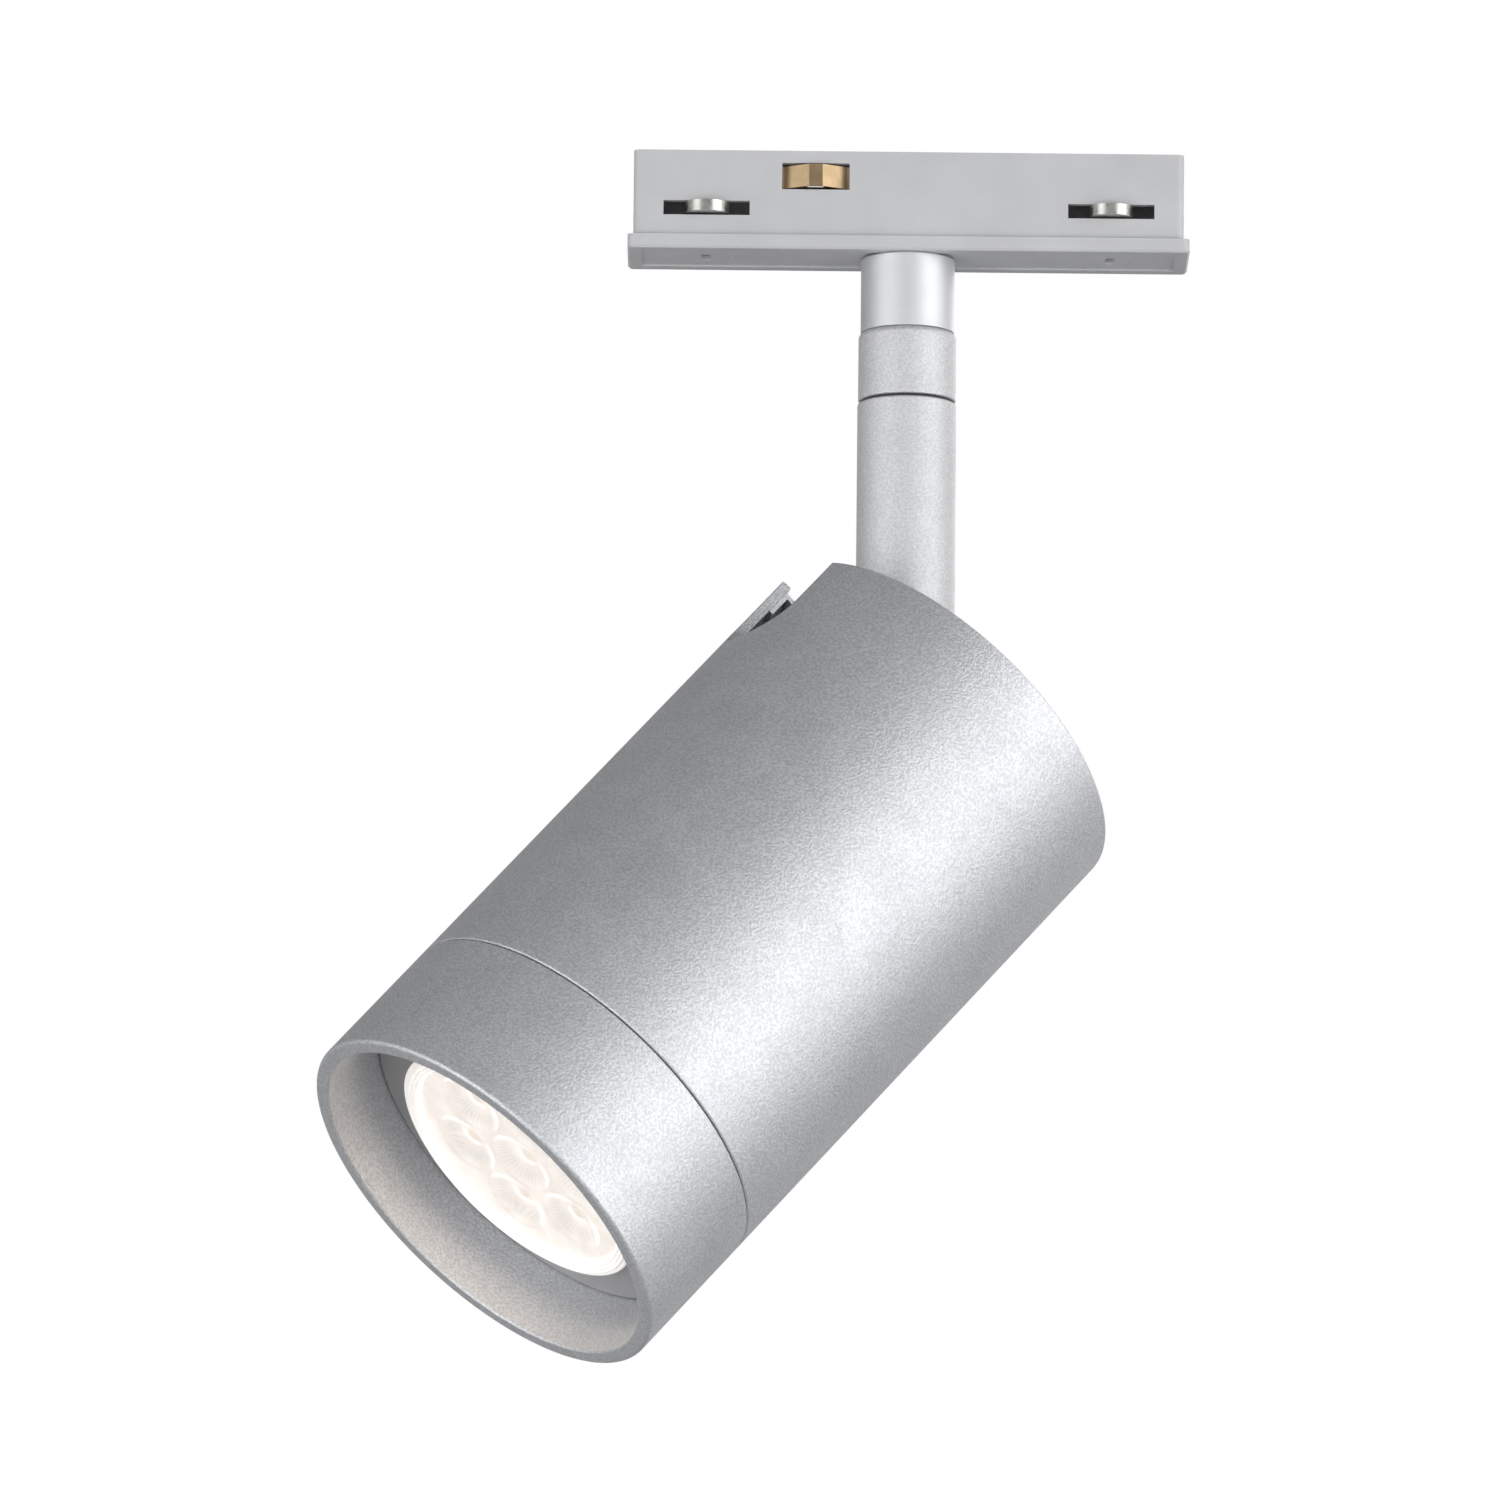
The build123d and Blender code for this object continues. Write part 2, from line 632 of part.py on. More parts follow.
# ------------------------------------------------------------------------------ the tilting head
with BuildPart() as head_housing:
    with BuildSketch(head_plane.offset(seam_h)):
        Circle(head_radius)
    extrude(amount=rear_h - seam_h)
    fillet(head_housing.edges().group_by(head_axis)[-1], head_round)
    with BuildSketch(head_plane.offset(seam_h)):
        Circle(head_bore)
    extrude(amount=rear_h - seam_h, mode=Mode.SUBTRACT)
    with BuildSketch(head_plane.offset(bracket_top_h)):
        boss_size = boss_depth + head_wall / 2
        for side in (-1, 1):
            with Locations((0, side * (head_bore + (boss_size - 2 * boss_depth) / 2))):
                Rectangle(boss_width, boss_size)
    extrude(amount=boss_length)
    with BuildSketch(head_plane.offset(bracket_top_h)):
        with GridLocations(1, boss_screw_spacing, 1, 2):
            Circle(boss_screw_radius)
    extrude(amount=boss_screw_length, mode=Mode.SUBTRACT)
    with BuildSketch(notch_plane.offset(head_bore / 2)):
        Circle(notch_radius)
        with Locations((0, rear_h)):
            Rectangle(2 * notch_radius, 2 * rear_h)
    extrude(amount=head_radius, mode=Mode.SUBTRACT)
head_housing.part.label = "head_housing"
export_step(head_housing.part, "parts/head_housing.step")

with BuildPart() as rear_cap:
    with BuildSketch(head_plane.offset(cap_top_h)):
        Circle(head_bore)
    extrude(amount=-cap_skirt)
    with BuildSketch(head_plane.offset(cap_top_h - cap_thickness)):
        Circle(head_bore - cap_thickness)
    extrude(amount=-cap_skirt, mode=Mode.SUBTRACT)
    with BuildSketch(head_plane.offset(cap_top_h)):
        Circle(notch_radius)
        with Locations((head_radius / 2, 0)):
            Rectangle(head_radius, 2 * notch_radius)
    extrude(amount=-cap_skirt, mode=Mode.SUBTRACT)
rear_cap.part.label = "rear_cap"
export_step(rear_cap.part, "parts/rear_cap.step")

with BuildPart() as pivot_bracket:
    with BuildSketch(head_plane.offset(holder_back_h)):
        Rectangle(bracket_width, bracket_length)
        Circle(bracket_lead_hole, mode=Mode.SUBTRACT)
        with GridLocations(1, boss_screw_spacing, 1, 2):
            Circle(boss_screw_radius, mode=Mode.SUBTRACT)
        with GridLocations(1, holder_screw_spacing, 1, 2):
            Circle(holder_screw_radius, mode=Mode.SUBTRACT)
    extrude(amount=bracket_thickness)
    for side in (-1, 1):
        with BuildSketch(head_side.offset(side * ear_inner)):
            Circle(bolt_radius + ear_wall)
            with Locations((0, bracket_top_h / 2)):
                Rectangle(2 * (bolt_radius + ear_wall), -bracket_top_h)
            Circle(bolt_radius, mode=Mode.SUBTRACT)
        extrude(amount=side * ear_thickness)
pivot_bracket.part.label = "pivot_bracket"
export_step(pivot_bracket.part, "parts/pivot_bracket.step")

with BuildPart() as tilt_washers:
    for side in (-1, 1):
        with BuildSketch(head_side.offset(side * (ear_inner - tilt_washer_thickness))):
            Circle(bolt_radius + tilt_washer_wall)
            Circle(bolt_radius, mode=Mode.SUBTRACT)
        extrude(amount=side * tilt_washer_thickness)
tilt_washers.part.label = "tilt_washers"
export_step(tilt_washers.part, "parts/tilt_washers.step")

bolt_end_y = ear_outer + bolt_nut_thickness + bolt_end
with BuildPart() as pivot_bolt:
    with BuildSketch(head_side.offset(-bolt_end_y)):
        Circle(bolt_radius)
    extrude(amount=bolt_end_y + ear_outer)
    with BuildSketch(head_side.offset(ear_outer)):
        Circle(bolt_radius + bolt_head_rim)
    extrude(amount=bolt_head_height)
    with BuildSketch(head_side.offset(ear_outer + bolt_head_height)):
        RegularPolygon(bolt_socket_radius, 6)
    extrude(amount=-bolt_socket_depth, mode=Mode.SUBTRACT)
pivot_bolt.part.label = "pivot_bolt"
export_step(pivot_bolt.part, "parts/pivot_bolt.step")

with BuildPart() as pivot_nut:
    with BuildSketch(head_side.offset(-ear_outer)):
        RegularPolygon(bolt_radius + bolt_nut_wall, 6, major_radius=False)
        Circle(bolt_radius, mode=Mode.SUBTRACT)
    extrude(amount=-bolt_nut_thickness)
pivot_nut.part.label = "pivot_nut"
export_step(pivot_nut.part, "parts/pivot_nut.step")

with BuildPart() as bracket_screws:
    with BuildSketch(head_plane.offset(holder_back_h)):
        with GridLocations(1, boss_screw_spacing, 1, 2):
            Circle(boss_screw_radius)
    extrude(amount=bracket_thickness + boss_screw_length)
    with BuildSketch(head_plane.offset(holder_back_h)):
        with GridLocations(1, boss_screw_spacing, 1, 2):
            Circle(boss_screw_head)
    extrude(amount=-screw_head_height)
    with BuildSketch(head_plane.offset(holder_back_h - screw_head_height)):
        with GridLocations(1, boss_screw_spacing, 1, 2):
            Rectangle(boss_screw_head, screw_cross_width)
            Rectangle(screw_cross_width, boss_screw_head)
    extrude(amount=screw_cross_depth, mode=Mode.SUBTRACT)
bracket_screws.part.label = "bracket_screws"
export_step(bracket_screws.part, "parts/bracket_screws.step")

# Lamp holder: each pin enters at a round hole and twists along an arc to its rest place.
pin_arcs = {
    entry: CenterArc((0, 0), pin_pitch / 2, entry, unlock_angle)
    for entry in (90.0 - unlock_angle, 270.0 - unlock_angle)
}
with BuildPart() as lamp_holder:
    with BuildSketch(head_plane.offset(holder_face_h)):
        RectangleRounded(holder_width, holder_length, holder_corner)
    extrude(amount=holder_depth)
    for entry, pin_arc in pin_arcs.items():
        with BuildSketch(head_plane.offset(holder_face_h)):
            SlotArc(pin_arc, 2 * (pin_neck_radius + loose_gap))
        extrude(amount=holder_face, mode=Mode.SUBTRACT)
        with BuildSketch(head_plane.offset(holder_face_h)):
            with PolarLocations(pin_pitch / 2, 1, start_angle=entry):
                Circle(pin_head_radius + loose_gap)
        extrude(amount=holder_face, mode=Mode.SUBTRACT)
        with BuildSketch(head_plane.offset(holder_face_h + holder_face)):
            SlotArc(pin_arc, 2 * (pin_head_radius + loose_gap))
        extrude(amount=holder_cavity, mode=Mode.SUBTRACT)
    with BuildSketch(head_plane.offset(holder_back_h)):
        with GridLocations(1, holder_screw_spacing, 1, 2):
            Circle(holder_screw_radius)
    extrude(amount=-holder_screw_length, mode=Mode.SUBTRACT)
lamp_holder.part.label = "lamp_holder"
export_step(lamp_holder.part, "parts/lamp_holder.step")

with BuildPart() as holder_screws:
    with BuildSketch(head_plane.offset(bracket_top_h)):
        with GridLocations(1, holder_screw_spacing, 1, 2):
            Circle(holder_screw_radius)
    extrude(amount=-bracket_thickness - holder_screw_length)
    with BuildSketch(head_plane.offset(bracket_top_h)):
        with GridLocations(1, holder_screw_spacing, 1, 2):
            Circle(holder_screw_head)
    extrude(amount=screw_head_height)
    with BuildSketch(head_plane.offset(bracket_top_h + screw_head_height)):
        with GridLocations(1, holder_screw_spacing, 1, 2):
            Rectangle(holder_screw_head, screw_cross_width)
            Rectangle(screw_cross_width, holder_screw_head)
    extrude(amount=-screw_cross_depth, mode=Mode.SUBTRACT)
holder_screws.part.label = "holder_screws"
export_step(holder_screws.part, "parts/holder_screws.step")

# Leads from the back of the holder up through the bracket's hole, ending short of the knuckle
with BuildPart() as head_leads:
    with BuildSketch(head_plane.offset(holder_back_h)):
        with PolarLocations(lead_orbit, lead_count):
            Circle(lead_radius)
    extrude(amount=-head_lead_end - holder_back_h)
head_leads.part.label = "head_leads"
export_step(head_leads.part, "parts/head_leads.step")

# -------------------------------------------------------------------------------- the front ring
spigot_radius = head_bore - loose_gap
spring_orbit = spigot_radius - spring_thickness
spring_h = (seam_h + spigot_end_h - spring_length) / 2
with BuildPart() as front_ring:
    with BuildSketch(head_side):
        with BuildLine():
            Polyline(
                (ring_mouth_radius, mouth_h),
                (head_radius, mouth_h),
                (head_radius, seam_h - ring_seam),
                (spigot_radius, seam_h - ring_seam),
                (spigot_radius, spigot_end_h),
                (ring_bore, spigot_end_h),
                (ring_bore, ledge_h),
                (ring_seat_radius, ledge_h),
                close=True,
            )
        make_face()
    revolve(axis=head_axis)
    rim_edges = front_ring.edges().group_by(head_axis)[0].sort_by(SortBy.RADIUS)
    fillet(rim_edges[-1], ring_outer_round)
    fillet(rim_edges[0], ring_inner_round)
    with BuildSketch(head_plane.offset(spring_h)):
        with PolarLocations(spring_orbit, spring_count):
            Rectangle(spring_thickness, spring_width)
    extrude(amount=spring_length, mode=Mode.SUBTRACT)
front_ring.part.label = "front_ring"
export_step(front_ring.part, "parts/front_ring.step")

with BuildPart() as ring_springs:
    with BuildSketch(head_plane.offset(spring_h)):
        with PolarLocations(spring_orbit, spring_count):
            Rectangle(spring_thickness, spring_width)
    extrude(amount=spring_length)
ring_springs.part.label = "ring_springs"
export_step(ring_springs.part, "parts/ring_springs.step")

with BuildPart() as glare_baffle:
    with BuildSketch(head_side):
        with BuildLine():
            Polyline(
                (baffle_hole, baffle_h),
                (ring_seat_radius - loose_gap, baffle_h),
                (ring_seat_radius - loose_gap, ledge_h),
                (ring_bore, ledge_h),
                (ring_bore, ledge_h + baffle_skirt),
                (ring_bore - baffle_thickness, ledge_h + baffle_skirt),
                (ring_bore - baffle_thickness, ledge_h),
                (baffle_hole + baffle_thickness, ledge_h),
                (baffle_hole + baffle_thickness, ledge_h + baffle_lip),
                (baffle_hole, ledge_h + baffle_lip),
                close=True,
            )
        make_face()
    revolve(axis=head_axis)
glare_baffle.part.label = "glare_baffle"
export_step(glare_baffle.part, "parts/glare_baffle.step")

# -------------------------------------------------------------------------------------- the lamp
rim_face_h = lamp_face_h + lamp_rim_step
rim_back_h = rim_face_h + lamp_rim_height
with BuildPart() as lamp_body:
    with BuildSketch(head_side):
        with BuildLine():
            Polyline(
                (lamp_lens_radius, rim_face_h),
                (lamp_radius - lamp_rim_step, rim_face_h),
                (lamp_radius, rim_face_h + lamp_rim_step),
                (lamp_radius, rim_back_h),
                (lamp_back_radius, lamp_base_h),
                (lamp_back_radius - lamp_wall, lamp_base_h),
                (lamp_radius - lamp_wall, rim_back_h),
                (lamp_radius - lamp_wall, lens_back_h),
                (lamp_lens_radius, lens_back_h),
                close=True,
            )
        make_face()
    revolve(axis=head_axis)
lamp_body.part.label = "lamp_body"
export_step(lamp_body.part, "parts/lamp_body.step")

with BuildPart() as lamp_lens:
    with BuildSketch(head_plane.offset(lamp_face_h)):
        Circle(lamp_lens_radius)
    extrude(amount=lamp_lens_thickness)
    fillet(lamp_lens.edges().group_by(head_axis)[0], lamp_rim_step)
lamp_lens.part.label = "lamp_lens"
export_step(lamp_lens.part, "parts/lamp_lens.step")

with BuildPart() as lamp_optics:
    with BuildSketch(head_plane.offset(lens_back_h)):
        Circle(lamp_lens_radius)
    extrude(amount=optic_plate)
    with BuildSketch(head_side):
        with BuildLine():
            Polyline(
                (0, lens_back_h + optic_plate),
                (optic_top_radius, lens_back_h + optic_plate),
                (optic_foot_radius, lens_back_h + optic_plate + optic_height),
                (0, lens_back_h + optic_plate + optic_height),
                close=True,
            )
        make_face()
    revolve(axis=head_axis)
    for index in range(optic_count):
        turn = radians(360 * index / optic_count)
        centre = pivot + notch_dir * (optic_orbit * cos(turn)) + tilt_dir * (optic_orbit * sin(turn))
        optic_side = Plane(origin=centre, x_dir=notch_dir, z_dir=head_side.z_dir)
        with BuildSketch(optic_side):
            with BuildLine():
                Polyline(
                    (0, lens_back_h + optic_plate),
                    (optic_top_radius, lens_back_h + optic_plate),
                    (optic_foot_radius, lens_back_h + optic_plate + optic_height),
                    (0, lens_back_h + optic_plate + optic_height),
                    close=True,
                )
            make_face()
        revolve(axis=Axis(centre, rear_dir))
lamp_optics.part.label = "lamp_optics"
export_step(lamp_optics.part, "parts/lamp_optics.step")

with BuildPart() as lamp_leds:
    with BuildSketch(head_plane.offset(board_h)):
        Rectangle(led_size, led_size)
        with PolarLocations(optic_orbit, optic_count):
            Rectangle(led_size, led_size)
    extrude(amount=-led_thickness)
lamp_leds.part.label = "lamp_leds"
export_step(lamp_leds.part, "parts/lamp_leds.step")


def cone_radius(height):
    """Inside radius of the lamp's tapering body at a height along the head's axis."""
    share = (height - rim_back_h) / (lamp_base_h - rim_back_h)
    return lamp_radius - lamp_wall + share * (lamp_back_radius - lamp_radius)


with BuildPart() as lamp_board:
    with BuildSketch(head_plane.offset(board_h)):
        Circle(cone_radius(board_h + board_thickness) - heatsink_wall_gap)
    extrude(amount=board_thickness)
lamp_board.part.label = "lamp_board"
export_step(lamp_board.part, "parts/lamp_board.step")

with BuildPart() as lamp_heatsink:
    with BuildSketch(head_side):
        with BuildLine():
            Polyline(
                (0, heatsink_h),
                (cone_radius(heatsink_h) - heatsink_wall_gap, heatsink_h),
                (cone_radius(lamp_base_h) - heatsink_wall_gap, lamp_base_h),
                (0, lamp_base_h),
                close=True,
            )
        make_face()
    revolve(axis=head_axis)
lamp_heatsink.part.label = "lamp_heatsink"
export_step(lamp_heatsink.part, "parts/lamp_heatsink.step")

with BuildPart() as lamp_base:
    with BuildSketch(head_side):
        with BuildLine():
            Polyline(
                (0, lamp_base_h),
                (lamp_back_radius, lamp_base_h),
                (lamp_base_radius, lamp_end_h),
                (0, lamp_end_h),
                close=True,
            )
        make_face()
    revolve(axis=head_axis)
    fillet(lamp_base.edges().group_by(head_axis)[-1], pin_round)
lamp_base.part.label = "lamp_base"
export_step(lamp_base.part, "parts/lamp_base.step")

pin_head_h = lamp_end_h + pin_neck_length
with BuildPart() as lamp_pins:
    with BuildSketch(head_plane.offset(pin_head_h)):
        with GridLocations(1, pin_pitch, 1, 2):
            Circle(pin_head_radius)
    extrude(amount=pin_head_height)
    fillet(lamp_pins.edges().group_by(head_axis)[-1], pin_round)
    with BuildSketch(head_plane.offset(lamp_end_h)):
        with GridLocations(1, pin_pitch, 1, 2):
            Circle(pin_neck_radius)
    extrude(amount=pin_neck_length)
lamp_pins.part.label = "lamp_pins"
export_step(lamp_pins.part, "parts/lamp_pins.step")
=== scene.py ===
"""Track spotlight: visible pieces, finishes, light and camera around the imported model.

Lengths in the classes are in millimetres, on one of two benches: the stem's, whose height runs up
the stem from the record's origin, and the head's, whose height runs from the tilt pivot to the rear.
A bench turns its local points into metres in the shared frame.
"""
import json
import logging
import math
from dataclasses import dataclass
from enum import Enum
from typing import Optional, Sequence

import bpy
import numpy as np
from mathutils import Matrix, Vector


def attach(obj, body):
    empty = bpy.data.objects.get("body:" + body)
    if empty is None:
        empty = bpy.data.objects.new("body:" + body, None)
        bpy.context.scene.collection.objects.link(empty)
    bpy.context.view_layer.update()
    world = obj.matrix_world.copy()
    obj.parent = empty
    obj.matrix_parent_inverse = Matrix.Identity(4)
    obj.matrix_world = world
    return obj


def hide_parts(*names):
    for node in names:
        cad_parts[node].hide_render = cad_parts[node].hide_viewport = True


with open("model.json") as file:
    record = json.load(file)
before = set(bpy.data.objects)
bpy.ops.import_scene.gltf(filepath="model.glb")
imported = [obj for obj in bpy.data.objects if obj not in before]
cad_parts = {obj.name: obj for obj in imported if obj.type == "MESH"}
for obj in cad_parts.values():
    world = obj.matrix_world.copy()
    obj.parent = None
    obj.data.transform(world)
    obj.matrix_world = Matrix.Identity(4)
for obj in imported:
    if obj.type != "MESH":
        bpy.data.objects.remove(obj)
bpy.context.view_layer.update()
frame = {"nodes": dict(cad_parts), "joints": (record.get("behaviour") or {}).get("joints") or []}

MM = 0.001
log = logging.getLogger("spotlight")

Colour = tuple[float, float, float]
Pairs = Sequence[tuple[float, float]]


# --------------------------------------------------------------------------- benches
@dataclass(frozen=True)
class Bench:
    """A local frame that pieces are worked out in.

    Args:
        origin: the frame's origin in the shared frame, in metres.
        across, along, up: its unit axes in the shared frame.
    """

    origin: np.ndarray
    across: np.ndarray
    along: np.ndarray
    up: np.ndarray

    def place(self, points: np.ndarray) -> np.ndarray:
        """Carry local points into the shared frame.

        Args:
            points: local points in millimetres, with x, y and z in the last axis.

        Returns:
            The same points in metres in the shared frame.
        """
        return self.origin + MM * (points @ np.stack([self.across, self.along, self.up]))


def joint(name: str) -> dict:
    """Return the record's joint of that name."""
    return next(j for j in frame["joints"] if j["name"] == name)


def stem_bench() -> Bench:
    """Return the bench of the adapter and the stem, which is the shared frame itself."""
    return Bench(np.zeros(3), np.array([1.0, 0, 0]), np.array([0, 1.0, 0]), np.array([0, 0, 1.0]))


def head_bench() -> Bench:
    """Return the head's bench: across towards the notch, along the tilt axis, up towards the rear."""
    rear = -np.array(joint("ring_pull")["axis"], float)
    tilt = -np.array(joint("tilt")["axis"], float)
    rear /= np.linalg.norm(rear)
    tilt /= np.linalg.norm(tilt)
    return Bench(np.array(joint("tilt")["pos_m"], float), np.cross(tilt, rear), tilt, rear)


# --------------------------------------------------------------------------- surfaces
def rounded(corners: Pairs, radii: Sequence[float], steps: int = 6, closed: bool = True) -> np.ndarray:
    """Round the corners of an outline with arcs.

    Each corner is cut back along both its sides by radius over the tangent of half the inside
    angle, and an arc of that radius joins the two cuts.

    Args:
        corners: the outline's corners.
        radii: one radius for each corner, 0 for a sharp one.
        steps: the number of straight steps in each arc.
        closed: whether the last corner joins the first.

    Returns:
        The rounded outline as an array of points.
    """
    points = np.array(corners, float)
    made = []
    for index, (corner, radius) in enumerate(zip(points, radii)):
        ends = index in (0, len(points) - 1) and not closed
        if radius <= 0 or ends:
            made.append(corner[None])
            continue
        back = points[index - 1] - corner
        ahead = points[(index + 1) % len(points)] - corner
        back /= np.linalg.norm(back)
        ahead /= np.linalg.norm(ahead)
        half = math.acos(float(np.clip(back @ ahead, -1, 1))) / 2
        middle = back + ahead
        middle /= np.linalg.norm(middle)
        centre = corner + middle * radius / math.sin(half)
        first = corner + back * radius / math.tan(half) - centre
        last = corner + ahead * radius / math.tan(half) - centre
        share = np.linspace(0, 1, steps + 1)[:, None]
        sweep = math.pi - 2 * half
        arc = (np.sin((1 - share) * sweep) * first + np.sin(share * sweep) * last) / math.sin(sweep)
        made.append(centre + arc)
    return np.concatenate(made)


def held(outline: np.ndarray, reach: float = 0.1) -> np.ndarray:
    """Add a point near both ends of each long side of a closed outline.

    The added points keep the shading of a rounded corner from spreading along the flat beside it.

    Args:
        outline: the outline's points.
        reach: how far from each end, in millimetres.

    Returns:
        The outline with the added points.
    """
    ahead = np.roll(outline, -1, 0) - outline
    length = np.linalg.norm(ahead, axis=1, keepdims=True)
    step = ahead / length * reach
    keep = np.repeat(length[:, 0] > 4 * reach, 3).reshape(-1, 3)
    keep[:, 0] = True
    triples = np.stack([outline, outline + step, outline + ahead - step], 1)
    return triples[keep]


def facing_out(points: np.ndarray, faces: np.ndarray) -> np.ndarray:
    """Turn all the faces of a closed mesh over if they point inwards.

    The sum of each face's first point dotted with its diagonal cross product is six times the
    volume inside, and it is negative when the faces point inwards.

    Args:
        points: the mesh's points.
        faces: its quads, four point numbers each.

    Returns:
        The quads, pointing outwards.
    """
    a, b, c, d = (points[faces[:, k]] for k in range(4))
    volume = np.einsum("ij,ij->", a, np.cross(b, c)) + np.einsum("ij,ij->", a, np.cross(c, d))
    return faces if volume > 0 else faces[:, ::-1]


def add_mesh(name: str, points: np.ndarray, faces: np.ndarray) -> bpy.types.Object:
    """Put points and quads into a new smooth mesh object at the origin.

    A quad that names the same point twice, as at a pole, becomes a triangle.

    Args:
        name: the piece's name.
        points: its points in metres in the shared frame.
        faces: its quads.

    Returns:
        The new object.
    """
    faces = facing_out(points, faces)
    loops = [list(dict.fromkeys(quad)) for quad in faces.tolist()]
    mesh = bpy.data.meshes.new(name)
    mesh.from_pydata(points.tolist(), [], [quad for quad in loops if len(quad) > 2])
    mesh.polygons.foreach_set("use_smooth", np.ones(len(mesh.polygons), bool))
    mesh.update()
    piece = bpy.data.objects.new(name, mesh)
    bpy.context.scene.collection.objects.link(piece)
    return piece


def grid_faces(rows: int, columns: int, wrap_rows: bool, wrap_columns: bool) -> np.ndarray:
    """Number the quads of a grid of points.

    Args:
        rows, columns: the grid's size.
        wrap_rows: whether the last row joins the first.
        wrap_columns: whether the last column joins the first.

    Returns:
        One row of four point numbers for each quad.
    """
    i = np.arange(rows if wrap_rows else rows - 1)
    j = np.arange(columns if wrap_columns else columns - 1)
    i, j = (g.ravel() for g in np.meshgrid(i, j, indexing="ij"))
    below, beside = (i + 1) % rows, (j + 1) % columns
    row, row_below = i * columns, below * columns
    return np.stack([row + j, row + beside, row_below + beside, row_below + j], 1)


def lathe(name: str, outline: np.ndarray, bench: Bench, centre: tuple[float, float] = (0.0, 0.0),
          segments: int = 192) -> bpy.types.Object:
    """Turn an outline of radius and height about an axis of the bench.

    A point at radius r and height h goes to (r cos t, r sin t, h) as t runs once round. An outline
    that starts and ends on the axis closes at two poles, and any other is a closed loop.

    Args:
        name: the piece's name.
        outline: points of radius and height in millimetres.
        bench: the bench whose upward axis it turns about.
        centre: where the axis stands on the bench.
        segments: steps once round.

    Returns:
        The new object.
    """
    poles = outline[0, 0] == 0 and outline[-1, 0] == 0
    outline = held(outline)[:-2] if poles else held(outline)
    turn = np.linspace(0, 2 * math.pi, segments, endpoint=False)
    radius, height = outline[:, 0, None], outline[:, 1, None]
    grid = np.stack([centre[0] + radius * np.cos(turn), centre[1] + radius * np.sin(turn),
                     height + 0 * turn], -1)
    faces = grid_faces(len(outline), segments, not poles, True)
    if poles:
        last = (len(outline) - 1) * segments
        faces = np.where(faces < segments, 0, faces)
        faces = np.where(faces >= last, last, faces)
        used, numbers = np.unique(faces, return_inverse=True)
        return add_mesh(name, bench.place(grid.reshape(-1, 3)[used]), numbers.reshape(faces.shape))
    return add_mesh(name, bench.place(grid.reshape(-1, 3)), faces)


# --------------------------------------------------------------------------- shader groups
class Graph:
    """A node tree with short calls to add and join nodes."""

    def __init__(self, tree: bpy.types.NodeTree) -> None:
        """Keep the tree that nodes are added to."""
        self.tree = tree

    def add(self, kind: str, **inputs: object) -> bpy.types.Node:
        """Add a node and set or join its inputs.

        Args:
            kind: the node's type, without the ShaderNode in front.
            inputs: input names, with underscores for spaces, and a value or an output socket.

        Returns:
            The new node.
        """
        node = self.tree.nodes.new("ShaderNode" + kind)
        for name, value in inputs.items():
            self.feed(node.inputs[name.replace("_", " ")], value)
        return node

    def feed(self, socket: bpy.types.NodeSocket, value: object) -> None:
        """Join an output socket to an input, or set the input's own value."""
        if isinstance(value, bpy.types.NodeSocket):
            self.tree.links.new(value, socket)
        else:
            socket.default_value = value

    def maths(self, operation: str, *values: object) -> bpy.types.NodeSocket:
        """Add a Math node and return its output.

        Args:
            operation: the node's operation.
            values: its inputs in order, numbers or sockets.

        Returns:
            The node's output socket.
        """
        node = self.tree.nodes.new("ShaderNodeMath")
        node.operation = operation
        for socket, value in zip(node.inputs, values):
            self.feed(socket, value)
        return node.outputs[0]

    def mix(self, share: object, first: object, second: object) -> bpy.types.NodeSocket:
        """Mix two colours by a share from 0 to 1 and return the colour socket."""
        node = self.tree.nodes.new("ShaderNodeMix")
        node.data_type = "RGBA"
        self.feed(node.inputs["Factor"], share)
        self.feed(node.inputs["A"], first)
        self.feed(node.inputs["B"], second)
        return node.outputs["Result"]


class Socket(Enum):
    """Kinds of socket that a shader group may have."""

    NUMBER = "NodeSocketFloat"
    COLOUR = "NodeSocketColor"
    VECTOR = "NodeSocketVector"


def new_group(name: str, takes: dict[str, Socket], gives: dict[str, Socket]) -> bpy.types.NodeTree:
    """Make an empty shader group with named sockets.

    Args:
        name: the group's name.
        takes: its inputs.
        gives: its outputs.

    Returns:
        The new group.
    """
    tree = bpy.data.node_groups.new(name, "ShaderNodeTree")
    for label, kind in takes.items():
        tree.interface.new_socket(name=label, in_out="INPUT", socket_type=kind.value)
    for label, kind in gives.items():
        tree.interface.new_socket(name=label, in_out="OUTPUT", socket_type=kind.value)
    return tree


def scaled(graph: Graph, vector: object, size_mm: object) -> bpy.types.NodeSocket:
    """Scale a position in metres so that one unit is a size in millimetres."""
    per_metre = graph.maths("DIVIDE", 1 / MM, size_mm)
    node = graph.tree.nodes.new("ShaderNodeVectorMath")
    node.operation = "SCALE"
    graph.feed(node.inputs[0], vector)
    graph.feed(node.inputs["Scale"], per_metre)
    return node.outputs[0]


